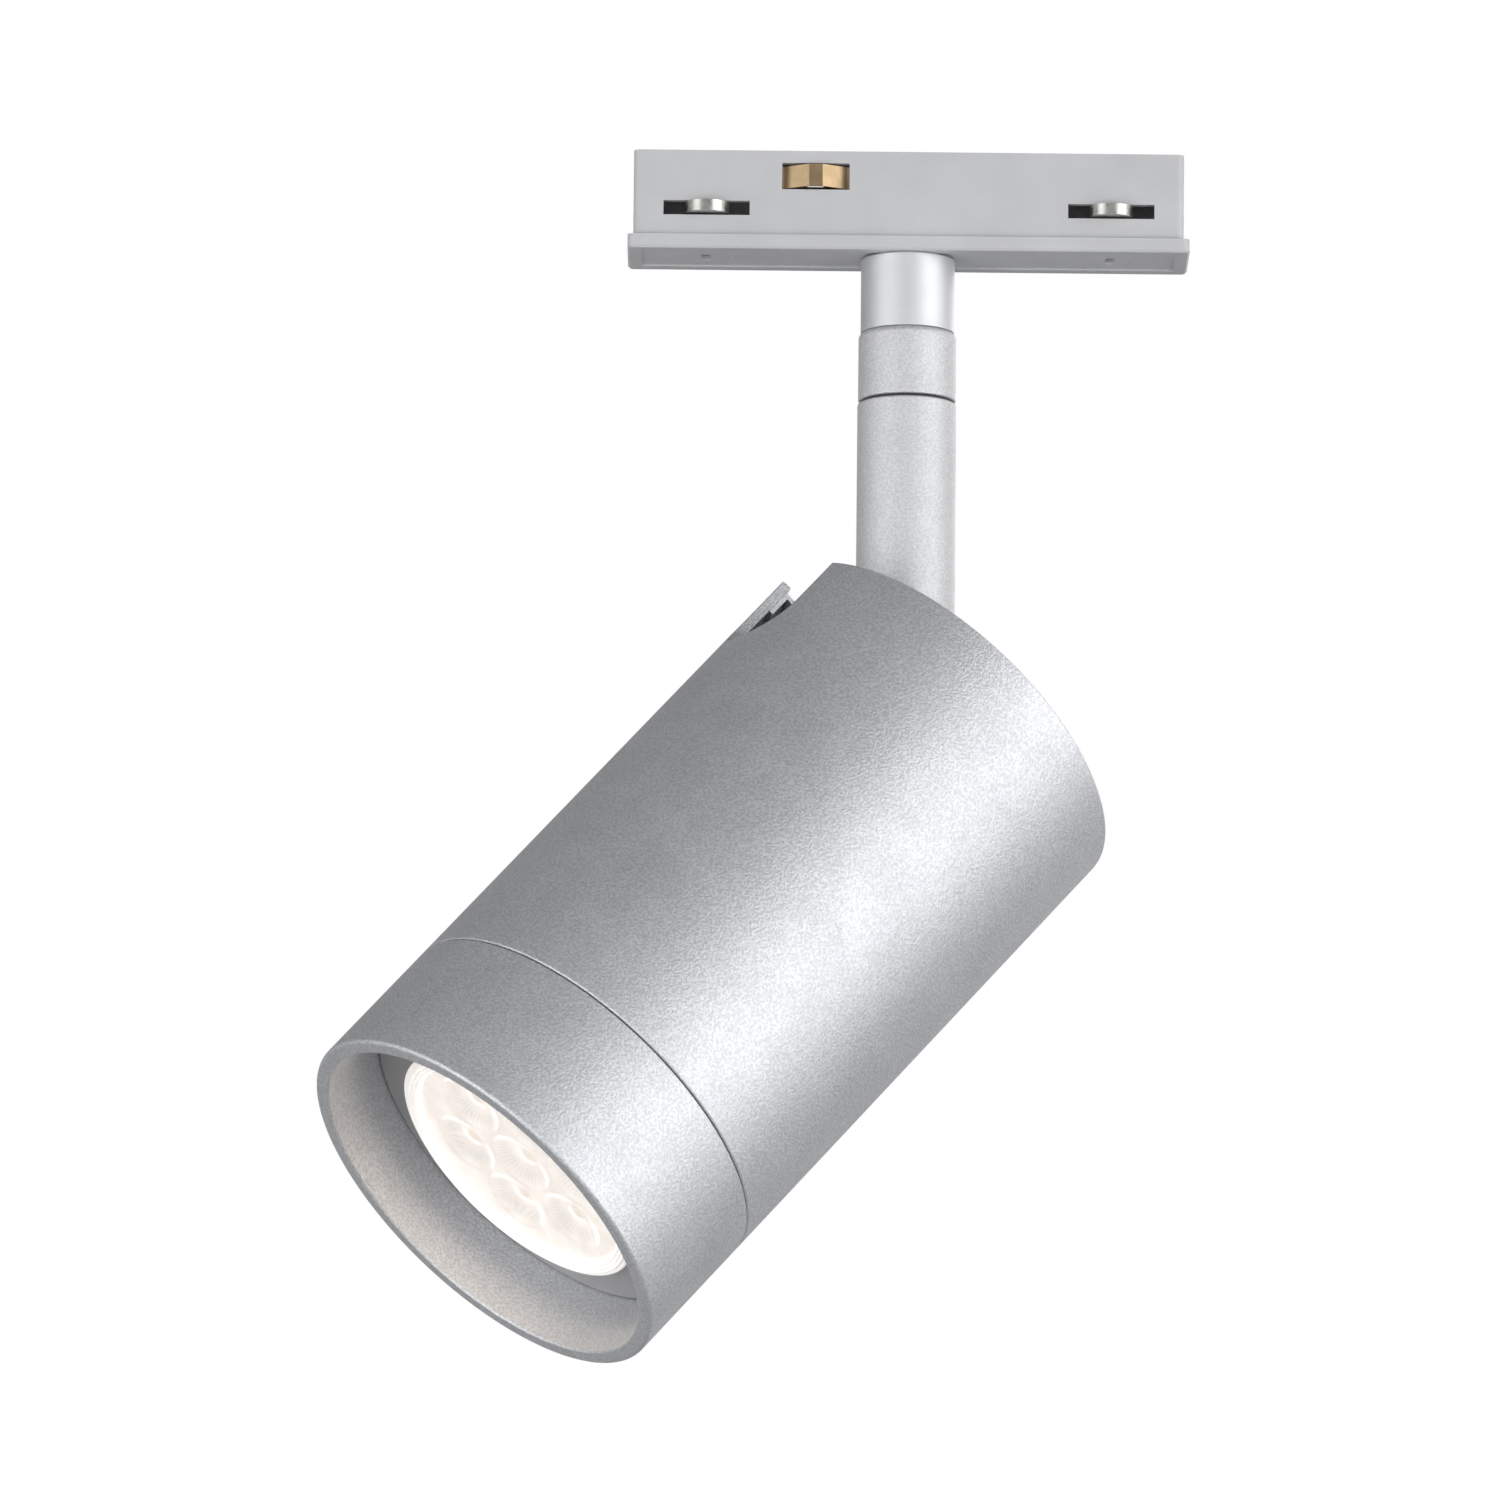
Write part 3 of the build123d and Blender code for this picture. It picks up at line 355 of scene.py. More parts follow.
def pebble_group() -> bpy.types.NodeTree:
    """Make the grain of a textured coat: rounded bumps of two sizes, as a height from 0 to 1."""
    tree = new_group("PebbleGrain", {"Vector": Socket.VECTOR, "Grain mm": Socket.NUMBER},
                     {"Height": Socket.NUMBER})
    graph = Graph(tree)
    takes = tree.nodes.new("NodeGroupInput")
    gives = tree.nodes.new("NodeGroupOutput")
    vector = scaled(graph, takes.outputs["Vector"], takes.outputs["Grain mm"])
    coarse = graph.add("TexNoise", Vector=vector, Scale=1.0, Detail=1.5, Roughness=0.45)
    fine = graph.add("TexNoise", Vector=vector, Scale=2.7, Detail=1.0, Roughness=0.5)
    both = graph.maths("MULTIPLY_ADD", fine.outputs["Fac"], 0.4, coarse.outputs["Fac"])
    graph.feed(gives.inputs["Height"], graph.maths("MULTIPLY", both, 0.74))
    return tree


def drift_group() -> bpy.types.NodeTree:
    """Make slow drift between two colours, and the same drift as a mask."""
    tree = new_group(
        "ToneDrift",
        {"Vector": Socket.VECTOR, "Patch mm": Socket.NUMBER, "Light": Socket.COLOUR, "Dark": Socket.COLOUR},
        {"Colour": Socket.COLOUR, "Mask": Socket.NUMBER},
    )
    graph = Graph(tree)
    takes = tree.nodes.new("NodeGroupInput")
    gives = tree.nodes.new("NodeGroupOutput")
    vector = scaled(graph, takes.outputs["Vector"], takes.outputs["Patch mm"])
    noise = graph.add("TexNoise", Vector=vector, Scale=1.0, Detail=4.0, Roughness=0.55)
    mask = graph.add("MapRange", Value=noise.outputs["Fac"], From_Min=0.3, From_Max=0.7)
    graph.feed(gives.inputs["Mask"], mask.outputs["Result"])
    colour = graph.mix(mask.outputs["Result"], takes.outputs["Light"], takes.outputs["Dark"])
    graph.feed(gives.inputs["Colour"], colour)
    return tree


def polish_group() -> bpy.types.NodeTree:
    """Make roughness that varies between two values in small smears, as handling leaves it."""
    tree = new_group(
        "HandledPolish",
        {"Vector": Socket.VECTOR, "Smear mm": Socket.NUMBER, "Low": Socket.NUMBER, "High": Socket.NUMBER},
        {"Roughness": Socket.NUMBER},
    )
    graph = Graph(tree)
    takes = tree.nodes.new("NodeGroupInput")
    gives = tree.nodes.new("NodeGroupOutput")
    vector = scaled(graph, takes.outputs["Vector"], takes.outputs["Smear mm"])
    noise = graph.add("TexNoise", Vector=vector, Scale=1.0, Detail=5.0, Roughness=0.6, Distortion=0.6)
    spread = graph.add("MapRange", Value=noise.outputs["Fac"], From_Min=0.3, From_Max=0.7)
    graph.feed(spread.inputs["To Min"], takes.outputs["Low"])
    graph.feed(spread.inputs["To Max"], takes.outputs["High"])
    graph.feed(gives.inputs["Roughness"], spread.outputs["Result"])
    return tree


def lines_group() -> bpy.types.NodeTree:
    """Make fine machining lines: noise squeezed along one axis, as a height from 0 to 1."""
    tree = new_group("MachinedLines", {"Vector": Socket.VECTOR, "Pitch mm": Socket.NUMBER},
                     {"Height": Socket.NUMBER})
    graph = Graph(tree)
    takes = tree.nodes.new("NodeGroupInput")
    gives = tree.nodes.new("NodeGroupOutput")
    vector = scaled(graph, takes.outputs["Vector"], takes.outputs["Pitch mm"])
    squeeze = graph.add("Mapping", Vector=vector, Scale=(0.01, 0.01, 1.0))
    noise = graph.add("TexNoise", Vector=squeeze.outputs["Vector"], Scale=1.0, Detail=3.0, Roughness=0.7)
    graph.feed(gives.inputs["Height"], noise.outputs["Fac"])
    return tree


GROUPS = {
    "pebble": pebble_group(),
    "drift": drift_group(),
    "polish": polish_group(),
    "lines": lines_group(),
}


def place_group(graph: Graph, name: str, **inputs: object) -> bpy.types.Node:
    """Place one of the shared groups in a material and set its inputs."""
    node = graph.tree.nodes.new("ShaderNodeGroup")
    node.node_tree = GROUPS[name]
    for label, value in inputs.items():
        graph.feed(node.inputs[label.replace("_", " ")], value)
    return node


def rgba(colour: Colour) -> tuple[float, float, float, float]:
    """Return a colour with full alpha."""
    return (*colour, 1.0)


def bump(graph: Graph, height: object, depth_mm: float, strength: float = 1.0) -> bpy.types.NodeSocket:
    """Add a Bump node and return its normal.

    Args:
        graph: the material's graph.
        height: the height socket, from 0 to 1.
        depth_mm: how deep the height's range is.
        strength: the node's strength.

    Returns:
        The bumped normal.
    """
    node = graph.add("Bump", Height=height, Strength=strength, Distance=depth_mm * MM)
    return node.outputs["Normal"]


# --------------------------------------------------------------------------- finishes
@dataclass(frozen=True)
class Finish:
    """A finish with slow colour drift, handled gloss and a grain.

    Args:
        name: the material's name.
        slot: the record's material slot; not used.
        colour: base colour.
        metallic: 0 for plastic and ceramic, towards 1 for metal.
        roughness: mean roughness.
        gloss_spread: how far roughness varies each way.
        drift: how much darker the dark patches are, as a share.
        patch_mm: size of those patches.
        grain_mm: size of the grain's bumps.
        grain_depth_mm: depth of the grain.
        grain_shading: painted shade in the hollows of the grain, as a share darker, and half that share of
            painted highlight on its tops.
        lined: whether the grain is machining lines instead of pebbles.
    """

    name: str
    slot: str
    colour: Colour
    metallic: float = 0.0
    roughness: float = 0.5
    gloss_spread: float = 0.05
    drift: float = 0.08
    patch_mm: float = 18.0
    grain_mm: float = 0.8
    grain_depth_mm: float = 0.02
    grain_shading: float = 0.0
    lined: bool = False

    def start(self) -> tuple[bpy.types.Material, Graph, bpy.types.Node, bpy.types.NodeSocket]:
        """Make the material and return it with its graph, shader and object coordinates."""
        material = bpy.data.materials.new(self.name)
        material.use_nodes = True
        graph = Graph(material.node_tree)
        shader = material.node_tree.nodes["Principled BSDF"]
        place = graph.add("TexCoord").outputs["Object"]
        return material, graph, shader, place

    def build(self) -> bpy.types.Material:
        """Make the finish's material.

        Returns:
            The new material.
        """
        material, graph, shader, place = self.start()
        dark = tuple(c * (1 - self.drift) for c in self.colour)
        tone = place_group(graph, "drift", Vector=place, Patch_mm=self.patch_mm,
                           Light=rgba(self.colour), Dark=rgba(dark))
        gloss = place_group(graph, "polish", Vector=place, Smear_mm=self.patch_mm / 3,
                            Low=self.roughness - self.gloss_spread, High=self.roughness + self.gloss_spread)
        if self.lined:
            grain = place_group(graph, "lines", Vector=place, Pitch_mm=self.grain_mm)
        else:
            grain = place_group(graph, "pebble", Vector=place, Grain_mm=self.grain_mm)
        # Painted shade in the grain's hollows and painted highlight on its tops: the colour follows the bump
        # height.
        value = graph.add("MapRange", Value=grain.outputs["Height"], From_Min=0.43, From_Max=0.61,
                          To_Min=1 - self.grain_shading, To_Max=1 + self.grain_shading / 2)
        coat = graph.add("HueSaturation", Value=value.outputs["Result"], Color=tone.outputs["Colour"])
        graph.feed(shader.inputs["Base Color"], coat.outputs["Color"])
        graph.feed(shader.inputs["Roughness"], gloss.outputs["Roughness"])
        graph.feed(shader.inputs["Normal"], bump(graph, grain.outputs["Height"], self.grain_depth_mm))
        shader.inputs["Metallic"].default_value = self.metallic
        return material


COATED = Finish("silver_textured_coat", "silver_coat", (0.655, 0.665, 0.69), metallic=0.86, roughness=0.58,
                gloss_spread=0.04, drift=0.03, patch_mm=30.0, grain_mm=0.46, grain_depth_mm=0.12, grain_shading=0.14)
FINE_COATED = Finish("silver_fine_coat", "silver_coat", (0.67, 0.675, 0.69), metallic=0.8, roughness=0.66,
                     gloss_spread=0.03, drift=0.03, patch_mm=12.0, grain_mm=0.4, grain_depth_mm=0.07,
                     grain_shading=0.11)
ANODISED = Finish("anodised_aluminium", "anodised", (0.70, 0.71, 0.725), metallic=1.0, roughness=0.6,
                  gloss_spread=0.03, drift=0.04, patch_mm=9.0, grain_mm=0.12, grain_depth_mm=0.004,
                  lined=True)
ADAPTER_GREY = Finish("adapter_grey_plastic", "adapter_grey", (0.52, 0.525, 0.54), roughness=0.38,
                      grain_mm=0.25, grain_depth_mm=0.008, drift=0.10, patch_mm=14.0)
BAFFLE_GREY = Finish("baffle_grey_paint", "baffle_grey", (0.34, 0.34, 0.345), metallic=0.3, roughness=0.42,
                     grain_mm=0.3, grain_depth_mm=0.006, drift=0.06)
ZINC = Finish("zinc_plated_steel", "zinc_steel", (0.55, 0.55, 0.52), metallic=1.0, roughness=0.32,
              gloss_spread=0.08, drift=0.18, patch_mm=5.0, grain_mm=0.2, grain_depth_mm=0.004)
NYLON = Finish("black_nylon", "black_nylon", (0.012, 0.012, 0.013), roughness=0.55, drift=0.2,
               patch_mm=4.0, grain_mm=0.3, grain_depth_mm=0.006)
BRONZE = Finish("spring_bronze", "contact_bronze", (0.44, 0.32, 0.19), metallic=1.0, roughness=0.4,
                drift=0.22, patch_mm=3.0, grain_mm=0.15, grain_depth_mm=0.003)
TERMINAL = Finish("terminal_plastic", "terminal_white", (0.72, 0.72, 0.69), roughness=0.5, drift=0.08,
                  patch_mm=6.0, grain_mm=0.25, grain_depth_mm=0.008)
LEAD = Finish("silicone_lead", "lead_silicone", (0.70, 0.68, 0.62), roughness=0.6, drift=0.12,
              patch_mm=5.0, grain_mm=0.3, grain_depth_mm=0.01)
CERAMIC = Finish("holder_ceramic", "holder_ceramic", (0.78, 0.75, 0.68), roughness=0.62, drift=0.10,
                 patch_mm=7.0, grain_mm=0.35, grain_depth_mm=0.015)
WHITE = Finish("lamp_white_plastic", "lamp_white", (0.80, 0.80, 0.78), roughness=0.42, drift=0.05,
               patch_mm=8.0, grain_mm=0.3, grain_depth_mm=0.006)
HEATSINK = Finish("heatsink_aluminium", "heatsink_metal", (0.62, 0.63, 0.64), metallic=1.0, roughness=0.35,
                  drift=0.12, patch_mm=8.0, grain_mm=0.3, grain_depth_mm=0.01)
NICKEL = Finish("nickel_pin", "pin_steel", (0.66, 0.65, 0.62), metallic=1.0, roughness=0.2, drift=0.12,
                patch_mm=2.0, grain_mm=0.15, grain_depth_mm=0.002)


@dataclass(frozen=True)
class Lit(Finish):
    """A finish that also gives light, brighter in some patches than in others.

    Args:
        glow: the emitted colour.
        glow_dark: the emitted colour of the dull patches.
        power: the emission's strength.
    """

    glow: Colour = (1.0, 0.97, 0.92)
    glow_dark: Colour = (0.8, 0.7, 0.6)
    power: float = 1.0

    def build(self) -> bpy.types.Material:
        """Make the material and add its light."""
        material = super().build()
        graph = Graph(material.node_tree)
        shader = material.node_tree.nodes["Principled BSDF"]
        place = graph.add("TexCoord").outputs["Object"]
        glow = place_group(graph, "drift", Vector=place, Patch_mm=self.patch_mm,
                           Light=rgba(self.glow), Dark=rgba(self.glow_dark))
        graph.feed(shader.inputs["Emission Color"], glow.outputs["Colour"])
        shader.inputs["Emission Strength"].default_value = self.power
        return material


@dataclass(frozen=True)
class LitOptic(Lit):
    """The lit optics: bright cups, warm light sources, and fine ribs down each cup in painted grey shade.

    Args:
        warm: the emitted colour over a source.
        rib_shade_colour: the emitted colour of the ribs, a painted grey shade.
        cast: the strength of the light thrown on what stands around the lamp.
        cast_colour: the colour of that light.
    """

    warm: Colour = (0.80, 0.66, 0.50)
    rib_shade_colour: Colour = (0.50, 0.50, 0.52)
    cast: float = 2.6
    cast_colour: Colour = (1.0, 0.84, 0.68)

    def build(self) -> bpy.types.Material:
        """Make the material, with its glow painted by the mesh's source attribute and painted rib shade from
        its ribs attribute.
        """
        material = super().build()
        graph = Graph(material.node_tree)
        shader = material.node_tree.nodes["Principled BSDF"]
        glow = shader.inputs["Emission Color"].links[0].from_socket
        shares = []
        for name in ("source", "ribs"):
            node = material.node_tree.nodes.new("ShaderNodeAttribute")
            node.attribute_name = name
            shares.append(node.outputs["Fac"])
        # Painted shade of the fine ribs: grey mixed into the glow where the ribs attribute is high.
        over = graph.mix(graph.maths("MULTIPLY", shares[1], 0.5), glow, rgba(self.rib_shade_colour))
        over = graph.mix(graph.maths("MULTIPLY", shares[0], 0.6), over, rgba(self.warm))
        seen = graph.add("LightPath").outputs["Is Camera Ray"]
        graph.feed(shader.inputs["Emission Color"], graph.mix(seen, rgba(self.cast_colour), over))
        strength = graph.maths("MULTIPLY_ADD", seen, self.power - self.cast, self.cast)
        graph.feed(shader.inputs["Emission Strength"], strength)
        return material


LIT_OPTIC = LitOptic("lit_optic", "lamp_clear", (0.15, 0.15, 0.15), roughness=0.2, drift=0.02, patch_mm=5.0,
                     grain_mm=0.5, grain_depth_mm=0.01, glow=(1.0, 0.93, 0.86), glow_dark=(0.80, 0.73, 0.68),
                     power=0.84)
LIT_RIM = Lit("lit_rim", "lamp_rim_clear", (0.88, 0.87, 0.86), roughness=0.12, drift=0.03, patch_mm=6.0,
              grain_mm=0.6, grain_depth_mm=0.01, glow=(1.0, 0.95, 0.9), glow_dark=(0.9, 0.84, 0.8),
              power=0.3)
PHOSPHOR = Lit("led_phosphor", "led_phosphor", (1.0, 0.86, 0.55), roughness=0.3, drift=0.05, patch_mm=1.5,
               grain_mm=0.2, grain_depth_mm=0.004, glow=(1.0, 0.85, 0.6), glow_dark=(1.0, 0.78, 0.5),
               power=2.5)


@dataclass(frozen=True)
class Clear(Finish):
    """Clear plastic: a thin cover that passes most light and keeps a gloss.

    Args:
        alpha: how much of the cover shows.
    """

    alpha: float = 0.09

    def build(self) -> bpy.types.Material:
        """Make the material and thin it."""
        material = super().build()
        shader = material.node_tree.nodes["Principled BSDF"]
        shader.inputs["Alpha"].default_value = self.alpha
        return material


COVER = Clear("clear_cover", "lamp_clear", (0.95, 0.95, 0.95), roughness=0.08, gloss_spread=0.02, drift=0.02,
              patch_mm=9.0, grain_mm=2.0, grain_depth_mm=0.004)


@dataclass(frozen=True)
class Backdrop(Finish):
    """A matt floor that the camera sees paler than the light it sends back up.

    Args:
        seen: emission added for the camera.
        cast: emission added for everything else.
    """

    seen: float = 0.55
    cast: float = 0.05

    def build(self) -> bpy.types.Material:
        """Make the material and add its emission."""
        material = super().build()
        graph = Graph(material.node_tree)
        shader = material.node_tree.nodes["Principled BSDF"]
        shader.inputs["Emission Color"].default_value = (1.0, 1.0, 1.0, 1.0)
        camera = graph.add("LightPath").outputs["Is Camera Ray"]
        strength = graph.maths("MULTIPLY_ADD", camera, self.seen - self.cast, self.cast)
        graph.feed(shader.inputs["Emission Strength"], strength)
        return material


def dress(piece: bpy.types.Object, finish: Finish, body: Optional[str] = None,
          instead_of: Sequence[str] = ()) -> bpy.types.Object:
    """Give a piece its finish; give a new piece its body and hide the CAD nodes it stands for.

    Args:
        piece: the object.
        finish: its finish.
        body: the body a new piece rides on, or none for a CAD node, which rides already.
        instead_of: the CAD nodes it replaces.

    Returns:
        The same object.
    """
    material = bpy.data.materials.get(finish.name) or finish.build()
    if body is None:
        for slot in piece.material_slots:
            slot.material = material
        return piece
    piece.data.materials.append(material)
    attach(piece, body)
    if instead_of:
        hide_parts(*instead_of)
    log.info("%s: %d faces on %s", piece.name, len(piece.data.polygons), body)
    return piece


# --------------------------------------------------------------------------- sub-assemblies
@dataclass
class Stem:
    """The smooth sleeve, the textured collar and the long tube, with lengths in millimetres."""

    bench: Bench
    underside: float = -18.0
    sleeve_radius: float = 8.35
    sleeve_length: float = 13.4
    neck_radius: float = 5.0
    neck_bore: float = 3.4
    neck_top: float = -8.0
    collar_radius: float = 8.7
    collar_length: float = 12.4
    collar_bore: float = 7.4
    socket_depth: float = 2.6
    stud_bore: float = 5.1
    flange: float = 4.0
    gap: float = 0.5
    tube_radius: float = 8.8
    tube_bore: float = 6.9
    tube_length: float = 54.8

    def build(self) -> None:
        """Build and dress the stem's pieces."""
        sleeve_end = self.underside - self.sleeve_length
        sleeve_floor = sleeve_end - self.socket_depth
        collar_end = sleeve_end - self.collar_length
        ledge = collar_end + self.flange
        tube_top = collar_end - self.gap
        tube_end = tube_top - self.tube_length
        sleeve = rounded(
            [(self.neck_bore, self.neck_top), (self.neck_radius, self.neck_top),
             (self.neck_radius, self.underside), (self.sleeve_radius, self.underside),
             (self.sleeve_radius, sleeve_end), (self.collar_bore, sleeve_end),
             (self.collar_bore, sleeve_floor), (self.neck_bore, sleeve_floor)],
            [0.2, 0.3, 0.05, 0.35, 0.1, 0.05, 0.2, 0.2])
        dress(lathe("sleeve_visual", sleeve, self.bench), ANODISED, "adapter", ["stem_sleeve"])
        collar = rounded(
            [(self.collar_bore, sleeve_end), (self.collar_radius, sleeve_end),
             (self.collar_radius, collar_end), (self.stud_bore, collar_end), (self.stud_bore, ledge),
             (self.collar_bore, ledge)],
            [0.2, 1.1, 0.3, 0.1, 0.1, 0.1])
        dress(lathe("collar_visual", collar, self.bench), FINE_COATED, "adapter", ["swivel_collar"])
        tube = rounded(
            [(self.tube_bore, tube_top), (self.tube_radius, tube_top), (self.tube_radius, tube_end),
             (self.tube_bore, tube_end)], [0.1, 0.35, 0.5, 0.3])
        dress(lathe("tube_visual", tube, self.bench), FINE_COATED, "arm", ["stem_tube"])


@dataclass
class Head:
    """The head's housing with its notch, and the front ring with its baffle."""

    bench: Bench
    radius: float = 37.5
    wall: float = 1.9
    length: float = 128.0
    rear: float = 10.0
    ring_length: float = 27.0
    seam: float = 0.3
    notch_half: float = 9.65
    edge: float = 0.22
    corner: float = 0.3
    seam_edge: float = 0.2
    hold: float = 0.12
    baffle_depth: float = 13.2

    def housing(self) -> bpy.types.Object:
        """Build the housing.

        The rear edge is an outline on the unrolled wall: level, then down one side of the notch,
        round its half circle and up the other. Each column of the surface runs from the seam up
        the outside to that outline, over an edge rounded in the wall's thickness, and down the
        inside, so the surface is a grid closed both ways.

        Returns:
            The housing.
        """
        seam = self.rear - self.length + self.ring_length
        half_turn = math.pi * self.radius
        notch = self.radius * math.asin(self.notch_half / self.radius)
        turn = np.linspace(math.pi, 2 * math.pi, 49)
        bowl = np.stack([notch * np.cos(turn), notch * np.sin(turn)], 1)
        side = np.linspace(self.rear - 2 * self.corner, 0, 14)[:-1, None]
        left = np.hstack([np.full_like(side, -notch), side])
        corner = rounded([(-notch - 3, self.rear), (-notch, self.rear), (-notch, 0)],
                         [0, self.corner, 0], 6, False)[1:-1]
        rim_left = np.linspace(-half_turn, -notch - 2 * self.corner, 96)[:, None]
        rim_left = np.hstack([rim_left, np.full_like(rim_left, self.rear)])
        half = np.concatenate([rim_left, corner, left])
        mirrored = half[::-1] * [-1, 1]
        outline = np.concatenate([half, bowl, mirrored[:-1]])

        ahead = np.roll(outline, -1, 0) - outline
        ahead[-1] = ahead[0]
        behind = outline - np.roll(outline, 1, 0)
        behind[0] = behind[-1]
        unit = ahead / np.linalg.norm(ahead, axis=1, keepdims=True)
        unit += behind / np.linalg.norm(behind, axis=1, keepdims=True)
        unit /= np.linalg.norm(unit, axis=1, keepdims=True)
        inward = np.stack([unit[:, 1], -unit[:, 0]], 1)

        step = np.concatenate([[0], np.cumsum(np.linalg.norm(np.diff(outline, axis=0), axis=1))])
        inside = np.abs(outline[:, 0]) <= notch + 1e-6
        inside &= outline[:, 1] < self.rear - 1e-6
        foot = outline[:, 0].copy()
        low, high = step[inside][0], step[inside][-1]
        share = (step[inside] - low) / (high - low)
        foot[inside] = -notch + 2 * notch * share
        foot = np.stack([foot, np.full_like(foot, seam)], 1)

        turn = np.linspace(0, math.pi / 2, 6)
        set_back = self.edge * (1 - np.sin(turn))
        drop = self.edge * (1 - np.cos(turn))
        inner = [self.edge + self.hold, self.wall - self.edge - self.hold]
        depths = np.concatenate([drop, inner, self.wall - drop[::-1]])
        backs = np.concatenate([set_back, [0, 0], set_back[::-1]])
        shares = np.concatenate([[0, 0.002], np.linspace(0.05, 0.95, 13), [0.998]])
        rows = []
        start = foot + [0, self.seam_edge]
        top = outline + inward * self.edge
        for share in shares:
            rows.append((start + (top - start) * share, 0.0))
        for depth, back in zip(depths, backs):
            rows.append((outline + inward * back, depth))
        for share in shares[::-1]:
            rows.append((start + (top - start) * share, self.wall))
        for depth in (self.wall - self.seam_edge, self.wall - self.seam_edge - self.hold,
                      self.seam_edge + self.hold, self.seam_edge):
            rows.append((foot, depth))
        flat = np.stack([row for row, _ in rows])
        depth = np.array([d for _, d in rows])[:, None]
        angle = flat[..., 0] / self.radius
        radial = self.radius - depth
        grid = np.stack([radial * np.cos(angle), radial * np.sin(angle), flat[..., 1]], -1)
        faces = grid_faces(grid.shape[0], grid.shape[1], True, True)
        return add_mesh("housing_visual", self.bench.place(grid.reshape(-1, 3)), faces)

    def ring(self) -> bpy.types.Object:
        """Build the front ring: a turned outline with a rounded lip and a spigot at the back."""
        mouth = self.rear - self.length
        seam = mouth + self.ring_length - self.seam
        ledge = mouth + self.baffle_depth + 1.0
        spigot = self.radius - self.wall - 0.3
        outline = rounded(
            [(34.6, mouth), (self.radius, mouth), (self.radius, seam), (spigot, seam),
             (spigot, seam + 8.3), (32.6, seam + 8.3), (32.6, ledge), (34.3, ledge)],
            [0.5, 0.7, 0.2, 0.05, 0.4, 0.4, 0.2, 0.05], 8)
        return lathe("front_ring_visual", outline, self.bench, segments=256)

    def baffle(self) -> bpy.types.Object:
        """Build the glare baffle: a flat ring with an inner lip and a skirt behind."""
        face = self.rear - self.length + self.baffle_depth
        back = face + 1.0
        outline = rounded(
            [(26.0, face), (34.0, face), (34.0, back), (32.6, back), (32.6, back + 6), (31.6, back + 6),
             (31.6, back), (27.0, back), (27.0, back + 2), (26.0, back + 2)],
            [0.4, 0.25, 0.1, 0.05, 0.3, 0.3, 0.1, 0.1, 0.3, 0.3])
        return lathe("baffle_visual", outline, self.bench, segments=256)

    def build(self) -> None:
        """Build and dress the head's pieces."""
        dress(self.housing(), COATED, "head", ["head_housing"])
        dress(self.ring(), COATED, "ring", ["front_ring"])
        dress(self.baffle(), BAFFLE_GREY, "ring", ["glare_baffle"])


